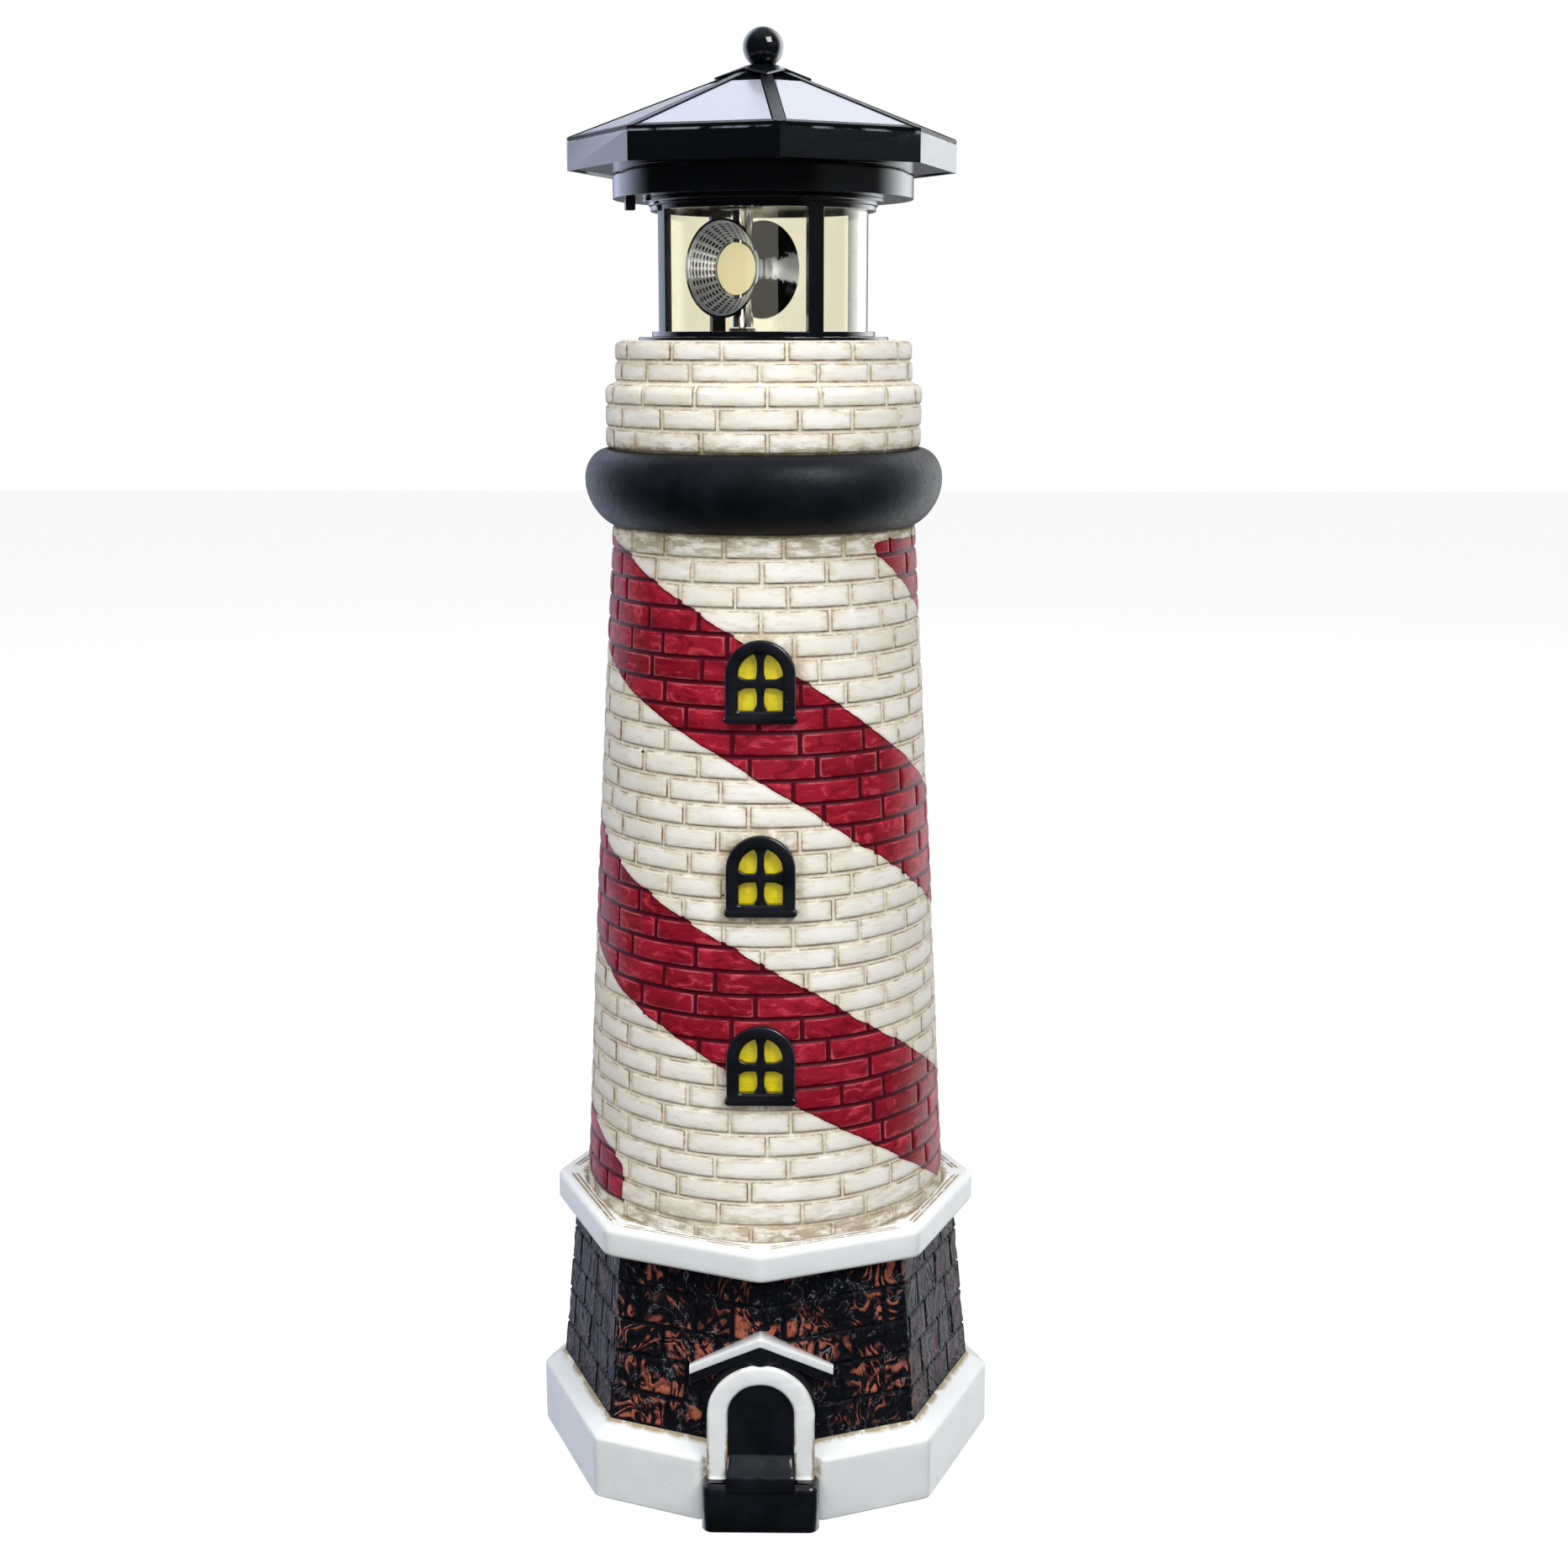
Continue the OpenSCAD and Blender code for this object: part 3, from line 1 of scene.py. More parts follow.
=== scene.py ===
import bpy
import numpy as np
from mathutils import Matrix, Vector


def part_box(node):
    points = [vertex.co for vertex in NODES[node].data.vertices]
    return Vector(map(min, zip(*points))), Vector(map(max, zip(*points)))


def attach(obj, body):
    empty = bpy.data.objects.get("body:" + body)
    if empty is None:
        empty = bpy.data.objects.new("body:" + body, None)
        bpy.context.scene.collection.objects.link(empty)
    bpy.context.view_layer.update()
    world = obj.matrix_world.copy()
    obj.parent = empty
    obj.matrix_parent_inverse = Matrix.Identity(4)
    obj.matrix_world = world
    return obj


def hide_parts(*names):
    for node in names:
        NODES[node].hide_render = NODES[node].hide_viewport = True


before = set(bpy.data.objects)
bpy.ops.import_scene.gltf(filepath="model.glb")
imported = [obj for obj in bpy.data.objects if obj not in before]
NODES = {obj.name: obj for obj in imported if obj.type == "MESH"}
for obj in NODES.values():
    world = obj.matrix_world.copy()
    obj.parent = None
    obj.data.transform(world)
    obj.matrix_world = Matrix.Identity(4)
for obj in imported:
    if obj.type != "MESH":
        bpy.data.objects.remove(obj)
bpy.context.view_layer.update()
MM = 0.001

# %% [markdown]
# The sizes below are the CAD model's own, in millimetres. A piece that stands
# for a CAD node has to lie where the node lies, so the few measures that the
# new surfaces share are written once, here.
# %% Sizes of the castings
PLINTH_R, PLINTH_FACE, PLINTH_TOP = 66.3, 18.5, 21.7
STONE_FOOT, STONE_TOP_R, STONE_TOP = 60.1, 55.6, 70.4
CORNICE_R, CORNICE_TOP = 61.2, 78.9
TOWER_Z, TOWER_TOP, TOWER_FOOT, TOWER_HEAD = 76.4, 269.0, 51.9, 41.7
RING_R, RING_TOP = 49.1, 289.5
PARAPET_R, TIER_R, TIER_Z, PARAPET_TOP = 43.3, 40.4, 307.5, 318.4
SEAT_Z, LAMP_TURN, ROTOR_Z = 316.0, 5.8, 337.3
STONE_H, RING_H = STONE_TOP - PLINTH_TOP, RING_TOP - TOWER_TOP
COURSES, BRICKS = 30, 16
for name in ("plinth", "tower_shell", "parapet", "roof_frame"):
    low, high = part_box(name)
    print(name, [round(v * 1000, 1) for v in (*low, *high)])

# %% [markdown]
# Every new surface is a table of points: rows run one way, columns the other.
# One function turns such a table into a mesh. It joins each point to its
# neighbours with four-sided faces, and closes the table on itself where the
# surface closes. Numbers such as the distance to a joint are kept on the
# points, where the materials read them.
# %% Table of points to mesh
def surface(name, p, close_rows=False, close_cols=False, values=None, flip=False, caps=False):
    """Faces join point (i, j) to (i+1, j), (i+1, j+1) and (i, j+1); indices wrap round where it closes."""
    rows, cols = p.shape[:2]
    i = np.arange(rows if close_rows else rows - 1)
    j = np.arange(cols if close_cols else cols - 1)
    a, b = np.meshgrid(i, j, indexing="ij")
    a1, b1 = (a + 1) % rows, (b + 1) % cols
    quads = np.stack([a * cols + b, a1 * cols + b, a1 * cols + b1, a * cols + b1], -1).reshape(-1, 4)
    if flip:
        quads = quads[:, ::-1]
    loops = quads.ravel()
    starts = np.arange(len(quads)) * 4
    if caps:
        rims = [np.arange(cols)[::-1], (rows - 1) * cols + np.arange(cols)]
        for rim in rims[:: -1 if flip else 1]:
            starts = np.append(starts, len(loops))
            loops = np.concatenate([loops, rim[:: -1 if flip else 1]])
    mesh = bpy.data.meshes.new(name)
    mesh.vertices.add(rows * cols)
    mesh.vertices.foreach_set("co", (p * MM).astype(np.float32).ravel())
    mesh.loops.add(len(loops))
    mesh.loops.foreach_set("vertex_index", loops.astype(np.int32))
    mesh.polygons.add(len(starts))
    mesh.polygons.foreach_set("loop_start", starts.astype(np.int32))
    mesh.polygons.foreach_set("use_smooth", np.ones(len(starts), bool))
    mesh.update(calc_edges=True)
    for key, v in (values or {}).items():
        layer = mesh.attributes.new(key, "FLOAT", "POINT")
        layer.data.foreach_set("value", np.broadcast_to(v, (rows, cols)).astype(np.float32).ravel())
    mesh.validate()
    obj = bpy.data.objects.new(name, mesh)
    bpy.context.scene.collection.objects.link(obj)
    return obj


def place(obj, body, slot, *nodes):
    """The piece rides on its body and stands for the CAD nodes, which are hidden; slot is not used."""
    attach(obj, body)
    if nodes:
        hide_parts(*nodes)
    print(obj.name, len(obj.data.polygons), "faces")
    return obj


def smooth(x, low, high):
    """0 below low, 1 above high, and 3t^2 - 2t^3 between."""
    t = np.clip((x - low) / (high - low), 0, 1)
    return t * t * (3 - 2 * t)


def wobble(x, y, seed, waves=7):
    """Sum of sine waves of random direction and phase, each finer wave weaker; about -1 to 1."""
    r = np.random.default_rng(seed)
    k = r.normal(size=(waves, 2)) * np.linspace(0.6, 2.4, waves)[:, None]
    phase = r.uniform(0, 2 * np.pi, waves)
    amp = 1 / np.linspace(1, 2.4, waves)
    w = sum(a * np.sin(kx * x + ky * y + ph) for a, (kx, ky), ph in zip(amp, k, phase))
    return w / amp.sum() * 1.6


print("helpers ready")

# %% [markdown]
# Materials are built from nodes by a small helper that keeps each line short.
# A procedural pattern reads Object coordinates, which are metres here, so a
# scale of 1000 makes the noise's unit one millimetre. Steady numbers go
# straight onto the shader's own sockets.
# %% Node helper
class Paint:
    """A material and short calls that add one node each and link its inputs."""

    def __init__(self, name, rough=0.5, spec=0.5, coat=0.0, metal=0.0, **sockets):
        self.mat = bpy.data.materials.new(name)
        self.mat.use_nodes = True
        self.tree = self.mat.node_tree
        self.bsdf = self.tree.nodes["Principled BSDF"]
        self.put(self.bsdf, "Roughness", rough)
        self.put(self.bsdf, "Specular IOR Level", spec)
        self.put(self.bsdf, "Coat Weight", coat)
        self.put(self.bsdf, "Metallic", metal)
        for key, value in sockets.items():
            self.put(self.bsdf, key.replace("_", " "), value)
        self.coord = self.tree.nodes.new("ShaderNodeTexCoord").outputs["Object"]

    def put(self, node, key, value):
        """A number goes on the socket; another node's output is linked to it."""
        socket = node.inputs[key]
        if isinstance(value, bpy.types.NodeSocket):
            self.tree.links.new(value, socket)
        else:
            if socket.type == "RGBA" and len(value) == 3:
                value = (*value, 1)
            socket.default_value = value

    def node(self, kind, _out=0, **values):
        """A new node's output; a value is a property of the node, a named socket, or socket i0, i1 and so on."""
        n = self.tree.nodes.new(kind)
        for key, value in values.items():
            if key in n.bl_rna.properties:
                setattr(n, key, value)
            else:
                self.put(n, int(key[1:]) if key[1:].isdigit() else key.replace("_", " "), value)
        return n.outputs[_out]

    def value(self, name):
        """A number kept on the points of the surface."""
        return self.node("ShaderNodeAttribute", 2, attribute_name=name)

    def noise(self, size, detail=3, rough=0.55, distort=0.0, coord=None, stretch=None):
        """Noise whose lumps are about size millimetres across."""
        where = coord or self.coord
        if stretch:
            where = self.node("ShaderNodeMapping", Vector=where, Scale=stretch)
        return self.node("ShaderNodeTexNoise", 0, Vector=where, Scale=1000 / size, Detail=detail,
                         Roughness=rough, Distortion=distort)

    def ramp(self, value, low, high, to_low=0.0, to_high=1.0):
        """Value from low..high is carried to to_low..to_high with a soft start and end."""
        return self.node("ShaderNodeMapRange", 0, interpolation_type="SMOOTHSTEP", Value=value, From_Min=low,
                         From_Max=high, To_Min=to_low, To_Max=to_high)

    def math(self, how, a, b=0.0):
        """One sum, product or comparison of two values."""
        return self.node("ShaderNodeMath", 0, operation=how, i0=a, i1=b)

    def mix(self, amount, a, b):
        """Colour a where the amount is 0, colour b where it is 1."""
        n = self.tree.nodes.new("ShaderNodeMix")
        n.data_type = "RGBA"
        self.put(n, 0, amount)
        self.put(n, 6, a)
        self.put(n, 7, b)
        return n.outputs[2]

    def xyz(self, axis):
        """One Object coordinate, in metres."""
        return self.node("ShaderNodeSeparateXYZ", "XYZ".index(axis), Vector=self.coord)

    def bump(self, height, depth):
        """Height from 0 to 1 stands depth millimetres proud."""
        n = self.tree.nodes.new("ShaderNodeBump")
        n.inputs["Strength"].default_value = 1
        n.inputs["Distance"].default_value = depth * MM
        self.put(n, "Height", height)
        return n.outputs[0]

    def finish(self, color, rough=None, normal=None):
        """Links what varies over the surface to the shader and hands the material over."""
        self.put(self.bsdf, "Base Color", color)
        if rough is not None:
            self.put(self.bsdf, "Roughness", rough)
        if normal is not None:
            self.put(self.bsdf, "Normal", normal)
            self.put(self.bsdf, "Coat Normal", normal)
        return self.mat


def wear(obj, material):
    """The piece wears this one material."""
    obj.data.materials.clear()
    obj.data.materials.append(material)


print("paint helper ready")

# %% [markdown]
# The tower and the parapet are brickwork pressed into resin. A brick wall
# could be a bump map, but joints this deep show on the outline, so they are
# real relief. The table of points is tight at the joints and wide on the
# bricks, which keeps the joints crisp with few faces. Real bricks aren't all
# of one length, so each course slides its joints a little.
# %% Brick lattice
ROW_STEPS = np.array([0, 0.055, 0.1, 0.18, 0.33, 0.5, 0.67, 0.82, 0.9, 0.945])
CELL_STEPS = np.array([0, 0.045, 0.085, 0.18, 0.39, 0.61, 0.82, 0.915, 0.955])


def brick_wall(radius, z0, z1, courses, bricks, seed, depth=0.42, crown=0.14):
    """Points of a round brick wall, the distance to a joint, a number for each brick, and which edges take a painted
    shadow line.

    The angle is the even lattice plus a slide that runs in straight lines from joint to joint.
    The radius is the wall's, less a flat band of mortar 0.8 mm wide and a soft fall near each brick's edge.
    """
    r = np.random.default_rng(seed)
    high = (z1 - z0) / courses
    course = np.append(np.repeat(np.arange(courses), len(ROW_STEPS)), courses - 1)
    part = np.append(np.tile(ROW_STEPS, courses), 1.0)
    z = z0 + high * (course + part)
    u = (np.arange(2 * bricks)[:, None] + CELL_STEPS).ravel()
    slide = np.empty((courses, len(u)))
    for c in range(courses):
        joints = 2 * np.arange(bricks) + c % 2
        slide[c] = np.interp(u, joints, r.uniform(-0.38, 0.38, bricks), period=2 * bricks)
    row_slide = slide[course]
    starts = (part == 0) & (course > 0)
    row_slide[starts] = (slide[course[starts]] + slide[course[starts] - 1]) / 2
    angle = (u + row_slide) * np.pi / bricks
    base = radius(z)[:, None]
    cell = base * np.pi / bricks
    odd = (course % 2)[:, None]
    to_side = np.abs((u - odd + 1) % 2 - 1) * cell
    to_bed = (np.minimum(part, 1 - part) * high)[:, None] + 0 * u
    joint = np.minimum(to_side, to_bed)
    number = ((u - odd) // 2).astype(int) % bricks
    shade = r.uniform(0, 1, (courses, bricks))[course[:, None], number]
    lean = r.normal(0, 1, (courses, bricks))[course[:, None], number]
    relief = -depth * (1 - smooth(joint, 0.3, 0.7)) - crown * (1 - smooth(joint, 0.6, 2.2))
    relief += 0.09 * (shade - 0.5) * smooth(joint, 0.3, 0.8) + 0.05 * lean * (part[:, None] - 0.5)
    turn = angle + 0 * base
    relief += 0.12 * wobble(np.cos(turn) * 9 + np.sin(turn) * 7, z[:, None] * 0.22, seed + 1)
    # Painted shade: 1 on the lower and right edges of each brick, whose joint line is drawn darker as if in the
    # brick's shadow.
    under = np.where(to_bed < to_side, part[:, None] < 0.5, (u - odd) % 2 > 1).astype(float)
    return turn, base + relief, z[:, None] + 0 * turn, joint, shade, under


def ring_points(angle, radius, z):
    """x = r sin a, y = -r cos a, so angle 0 is the door's side and 90 degrees is +X."""
    return np.stack([radius * np.sin(angle), -radius * np.cos(angle), z], -1)


def tower_radius(z):
    """A straight taper from foot to head, and a swell of 0.4 mm that is greatest half way."""
    t = (z - TOWER_Z) / (TOWER_TOP - TOWER_Z)
    return TOWER_FOOT + (TOWER_HEAD - TOWER_FOOT) * t + 1.6 * t * (1 - t)


print("points round a wall:", 2 * BRICKS * len(CELL_STEPS))

# %% [markdown]
# The windows are cast as deep pockets. Distances to an arch outline are used
# twice: to sink the wall behind a window, and to find how near a point lies to
# a window. A signed distance is negative inside a shape.
# %% Arch distances
def arch_distance(x, y, w, h):
    """Distance to an arch of width w and height h that stands on y = 0: a box below, a circle above."""
    spring = h - w / 2
    box = np.maximum(np.abs(x) - w / 2, -y)
    top = np.hypot(x, y - spring) - w / 2
    return np.where(y < spring, box, np.maximum(top, -y))


def soft_max(a, b, k):
    """The larger of two numbers, with the corner between them rounded over k."""
    return np.maximum(a, b) + np.maximum(k - np.abs(a - b), 0) ** 2 / (4 * k)


WINDOW_W, WINDOW_H, WINDOW_ZS = 18.5, 22.0, (117.1, 168.6, 220.1)
print("windows start at", WINDOW_ZS)

# %% [markdown]
# The red band is one of the two bands that wind down round the tower. Its
# middle falls 166 mm in one turn, and two bands 83 mm apart share the tower.
# The painter's line isn't a true screw thread: it bows out on the door's side.
# The points hold the distance to the band's edge, and the material draws the
# edge from it, so it stays sharp between the points.
# %% Red band
def band_distance(angle, z):
    """Half the band's width less the distance to the nearest band's middle; positive is red."""
    degrees = np.degrees((angle + np.pi) % (2 * np.pi) - np.pi)
    middle = 136.2 - 0.4611 * degrees + 2.4 * np.cos(2 * np.radians(degrees) + 0.15)
    away = np.abs((z - middle + 41.5) % 83 - 41.5)
    inside = 16.9 - away + 0.45 * wobble(np.sin(angle) * 14, z * 0.21, 31)
    inside = -soft_max(-inside, -(266.2 - z + 0.4 * wobble(np.sin(angle) * 12, z * 0, 32)), 5)
    inside = -soft_max(-inside, -(z - 82.6 + 0.5 * wobble(np.sin(angle) * 12, z * 0, 33)), 1.5)
    stopped = (degrees > -70) & (degrees < 20) & (z < 96)
    return np.where(stopped, np.minimum(inside, (-49.5 - degrees) * 0.9), inside)


def hollow(points, angle, inner):
    """Adds rows at (radius, height) to the end of the table, so the wall closes round its bore."""
    rows = [ring_points(angle, np.full(len(angle), r), np.full(len(angle), h)) for r, h in inner]
    return np.concatenate([points, np.array(rows)])


def fill_in(values, count, fill):
    """Gives the rows of the bore one steady value."""
    return np.concatenate([values, np.full((count, values.shape[1]), fill)])


wall_places = np.meshgrid(np.linspace(0, 2 * np.pi, 90), np.linspace(80, 265, 90))
print("red share of the wall:", round(float((band_distance(*wall_places) > 0).mean()), 3))

# %% [markdown]
# The tower's wall is the lattice of 30 courses with about 16 bricks round. It
# sinks 3.2 mm behind each window, where the frame stands in its pocket. The halo
# value is the distance to a window, because the wash darkens there.
# %% Tower wall
angle, radius, z, joint, shade, under = brick_wall(tower_radius, TOWER_Z, TOWER_TOP, COURSES, BRICKS, 11)
front = np.cos(angle) > 0
halo = np.full(z.shape, 50.0)
for low in WINDOW_ZS:
    x = radius * np.sin(angle)
    pocket = arch_distance(x, z - low - 1.6, WINDOW_W - 3.2, WINDOW_H - 3.2)
    radius = radius - 3.2 * front * (1 - smooth(pocket, -1.0, 0.0))
    halo = np.where(front, np.minimum(halo, arch_distance(x, z - low, WINDOW_W, WINDOW_H)), halo)
bore = [(39.4, TOWER_TOP), (39.4, 273.0), (36.7, 273.0), (36.7, TOWER_TOP), (46.9, TOWER_Z)]
points = hollow(ring_points(angle, radius, z), angle[-1], bore)
marks = {"joint": (joint, 5.0), "shade": (shade, 0.5), "halo": (halo, 50.0), "under": (under, 0.0),
         "band": (band_distance(angle, z), -20.0)}
tower = surface("tower_bricks", points, close_rows=True, close_cols=True, flip=True,
                values={k: fill_in(v, len(bore), fill) for k, (v, fill) in marks.items()})
place(tower, "tower", "white_resin", "tower_shell")

# %% [markdown]
# The parapet has two tiers. The lower one bulges a little and rounds over
# where the upper one steps in. Its top is a flat rim with a round recess, and
# the lamp head drops into that recess.
# %% Parapet
def lower_tier(z):
    """A slight barrel, with its last 2 mm rounding inwards."""
    t = (z - RING_TOP) / (TIER_Z - RING_TOP)
    rounding = 2.3 * smooth(t, 0.86, 1.02) ** 2 + 0.5 * (1 - smooth(t, 0, 0.06))
    return PARAPET_R - 0.25 * (2 * t - 1) ** 2 - rounding


def upper_tier(z):
    """Almost upright, with its top edge rounded by 1.2 mm."""
    t = (z - TIER_Z) / (PARAPET_TOP - TIER_Z)
    return TIER_R + 0.35 * (1 - t) - 1.2 * np.clip((t - 0.88) / 0.12, 0, 1) ** 2


low = brick_wall(lower_tier, RING_TOP, TIER_Z - 0.2, 3, 15, 21)
high = brick_wall(upper_tier, TIER_Z, PARAPET_TOP, 2, 15, 26)
angle, radius, z, joint, shade, under = (np.concatenate(pair) for pair in zip(low, high))
radius = np.minimum(radius, PARAPET_R)
rim = [(38.2, PARAPET_TOP), (36.2, PARAPET_TOP), (34.5, PARAPET_TOP), (34.3, PARAPET_TOP - 0.2)]
bore = [*rim, (34.3, SEAT_Z), (31.3, SEAT_Z), (31.3, 304.0), (36.7, 302.0), (36.7, 285.5), (39.4, 285.5),
        (39.4, RING_TOP)]
points = hollow(ring_points(angle, radius, z), angle[-1], bore)
marks = {"joint": (joint, 5.0), "shade": (shade, 0.5), "halo": (0 * z + 50, 50.0), "under": (under, 0.0),
         "band": (0 * z - 20, -20.0)}
parapet = surface("parapet_bricks", points, close_rows=True, close_cols=True, flip=True,
                  values={k: fill_in(v, len(bore), fill) for k, (v, fill) in marks.items()})
place(parapet, "tower", "white_resin", "parapet")

# %% [markdown]
# The plinth, the stone base and the cornice are octagons with a corner at the
# door. A rounded octagon is a soft maximum of its eight faces: add up a high
# power of each face's distance, and the power sets how round the corners are.
# Each row of the profile also says how far it is on its way from an octagon
# to a circle, because the hollow inside is round.
# %% Rounded octagon
def octagon_angles(per_side, tight=2.2):
    """Angles that crowd towards the corners."""
    t = np.linspace(-1, 1, per_side, endpoint=False)
    bent = np.sign(t) * (1 - (1 - np.abs(t)) ** tight)
    return (22.5 + np.arange(8)[:, None] * 45 + bent * 22.5).ravel() * np.pi / 180


def octagon_reach(angle, power):
    """Distance to a rounded octagon whose sharp corner would be at 1."""
    faces = np.radians(22.5 + 45 * np.arange(8))
    near = np.maximum(np.cos(angle[..., None] - faces), 0)
    return np.cos(np.pi / 8) / (near**power).sum(-1) ** (1 / power)


def octagon_ring(profile, angle, power):
    """Rows of (corner radius, height, roundness): roundness 0 follows the octagon and 1 a circle."""
    r, h, k = (np.array(profile, float)[:, i : i + 1] for i in range(3))
    reach = octagon_reach(angle, power)
    return ring_points(angle + 0 * r, r * (reach * (1 - k) + k), h + 0 * angle)


def arc(cx, cz, r, start, end, steps):
    """Part of a circle in the profile, for a rounded edge; angles in degrees."""
    a = np.radians(np.linspace(start, end, steps))
    return [(cx + r * np.cos(t), cz + r * np.sin(t), 0) for t in a]


print("plinth corner pulled in by mm:", round(PLINTH_R * (1 - float(octagon_reach(np.array([0.0]), 160)[0])), 2))

# %% [markdown]
# The plinth is plain white resin with a rounded upper edge and a slope. A
# flat is cut in its front corner for the doorway. The flat is made by holding
# back every point that would stand in front of it. The wash value says how
# much tan stays in the corners of a casting.
# %% Plinth
NOTCH_HALF, NOTCH_Y = 16.0, -58.5
angle = octagon_angles(44)
edge = np.arctan2(NOTCH_HALF, 60.0)
angle = np.sort(np.concatenate([angle, [edge - 1e-4, edge, 2 * np.pi - edge, 2 * np.pi - edge + 1e-4]]))
FOOT_ROUND, FACE_ROUND = 0.6, 1.4
profile = arc(PLINTH_R - FOOT_ROUND, FOOT_ROUND, FOOT_ROUND, -90, 0, 4)
profile += [(PLINTH_R, h, 0) for h in (4, 8, 12, 15)]
profile += arc(PLINTH_R - FACE_ROUND, PLINTH_FACE - FACE_ROUND, FACE_ROUND, 0, 62, 7)
profile += [(63.9, 19.2, 0), (62.4, 20.2, 0), (61.2, 20.95, 0), (60.5, 21.5, 0), (59.8, PLINTH_TOP, 0)]
profile += [(50.3, PLINTH_TOP, 1), (50.0, PLINTH_TOP - 0.3, 1), (50.0, 0.3, 1), (50.3, 0.0, 1)]
points = octagon_ring(profile, angle, 160)
outer = np.hypot(points[..., 0], points[..., 1]) > 55
dent = 0.12 * wobble(points[..., 0] * 0.16, points[..., 1] * 0.16 + points[..., 2] * 0.3, 41)
points[..., :2] *= 1 - (np.abs(dent) * outer * (points[..., 2] > 0.5) / 66)[..., None]
cut = (np.abs(points[..., 0]) < NOTCH_HALF) & (points[..., 1] < NOTCH_Y)
points[..., 1] = np.where(cut, NOTCH_Y, points[..., 1])
wash = np.maximum(smooth(points[..., 2], 20.4, 21.6) * outer, 0.6 * cut * smooth(points[..., 2], 10, 16))
plinth = surface("plinth_cast", points, close_rows=True, close_cols=True, flip=True, values={"wash": wash})
place(plinth, "tower", "white_resin", "plinth")

# %% [markdown]
# The cornice has one rounded edge all round. On top, two fine grooves
# follow each side and stop short of the corners. The tan wash gathers in them
# and against the tower's foot.
# %% Cornice
angle = octagon_angles(56, 1.5)
LOW_ROUND, TOP_ROUND = 1.2, 1.9
profile = arc(CORNICE_R - LOW_ROUND, STONE_TOP + LOW_ROUND, LOW_ROUND, -90, 0, 5)
profile += [(CORNICE_R, 73.5, 0), (CORNICE_R, 75.2, 0)]
profile += arc(CORNICE_R - TOP_ROUND, CORNICE_TOP - TOP_ROUND, TOP_ROUND, 0, 84, 8)
profile += [(r, CORNICE_TOP, 0) for r in np.linspace(58.7, 55.5, 17)]
profile += [(55.2, CORNICE_TOP, 0.15), (54.2, CORNICE_TOP, 0.5), (53.2, CORNICE_TOP, 0.8)]
profile += [(52.15, CORNICE_TOP - 0.05, 1), (52.0, CORNICE_TOP - 0.3, 1), (52.0, TOWER_Z, 1)]
profile += [(46.0, TOWER_Z, 1), (46.0, 74.6, 1), (49.5, 74.6, 1), (49.5, STONE_TOP, 1)]
points = octagon_ring(profile, angle, 90)
ring_mm = np.array(profile)[:, 0:1]
top = np.array(profile)[:, 1:2] > CORNICE_TOP - 0.1
from_corner = 22.5 - np.abs((np.degrees(angle) % 45) - 22.5)
length = smooth(from_corner, 1.8, 4.2)
GROOVE_RS, GROOVE_HALF = (57.7, 56.4), 0.34
groove = sum(np.exp(-(((ring_mm - r) / GROOVE_HALF) ** 2)) for r in GROOVE_RS) * top * length
points[..., 2] -= 0.55 * groove
foot = smooth(-ring_mm, -55.2, -52.4) * top
wash = np.clip(1.5 * groove + 0.8 * foot, 0, 1)
cornice = surface("cornice_cast", points, close_rows=True, close_cols=True, flip=True, values={"wash": wash})
place(cornice, "tower", "white_resin", "cornice")

# %% [markdown]
# The base is rough stone: five courses of blocks, three to a face. Its
# lattice is the brick wall's, but laid along the straight faces, and each
# block is split rock: ridges and hollows of a few tenths of a millimetre, with
# a worn edge at the joints.
# %% Stone base
STONE_COURSES, BLOCKS = 5, 24
STONE_STEPS = np.array([0, 0.03, 0.07, 0.14, 0.24, 0.36, 0.5, 0.64, 0.76, 0.86, 0.93, 0.97])
BLOCK_STEPS = np.array([0, 0.035, 0.08, 0.2, 0.35, 0.5, 0.65, 0.8, 0.92, 0.965])
LEVELS = np.array([0, 0.19, 0.41, 0.6, 0.81, 1.0])


def stone_table(seed):
    """Where each point lies: course, height in it, place along the row of blocks, and a number per block."""
    r = np.random.default_rng(seed)
    course = np.append(np.repeat(np.arange(STONE_COURSES), len(STONE_STEPS)), STONE_COURSES - 1)
    part = np.append(np.tile(STONE_STEPS, STONE_COURSES), 1.0)
    u = (np.arange(2 * BLOCKS)[:, None] + BLOCK_STEPS).ravel()
    joints = [2 * np.arange(BLOCKS) + c % 2 for c in range(STONE_COURSES)]
    slide = np.array([np.interp(u, j, r.uniform(-0.3, 0.3, BLOCKS), period=2 * BLOCKS) for j in joints])
    number = ((u - (course % 2)[:, None]) // 2).astype(int) % BLOCKS
    block = r.uniform(0, 1, (STONE_COURSES, BLOCKS))[course[:, None], number]
    return course, part, u, slide[course], block


course, part, u, slide, block = stone_table(5)
rise = LEVELS[course] + part * np.diff(LEVELS)[course]
lay = (u + slide) % (2 * BLOCKS)
side_of, along = np.floor(lay / 6), (lay / 6) % 1
corner_r = (STONE_FOOT + (STONE_TOP_R - STONE_FOOT) * rise)[:, None]
a, b = side_of * np.pi / 4, (side_of + 1) * np.pi / 4
x = corner_r * (np.sin(a) * (1 - along) + np.sin(b) * along)
y = -corner_r * (np.cos(a) * (1 - along) + np.cos(b) * along)
z = (PLINTH_TOP + (STONE_TOP - PLINTH_TOP) * rise)[:, None] + 0 * x
block_mm = corner_r * 2 * np.sin(np.pi / 8) / 6
to_side = np.abs((u - (course % 2)[:, None] + 1) % 2 - 1) * block_mm
to_bed = (np.minimum(part, 1 - part) * np.diff(LEVELS)[course] * STONE_H)[:, None] + 0 * u
joint = np.minimum(to_side, to_bed)
rock = 0.38 * wobble(lay * block_mm * 0.42 + block * 40, z * 0.42, 51, 9)
rock += 0.10 * wobble(lay * block_mm * 1.1, z * 0.7 + block * 30, 52, 9)
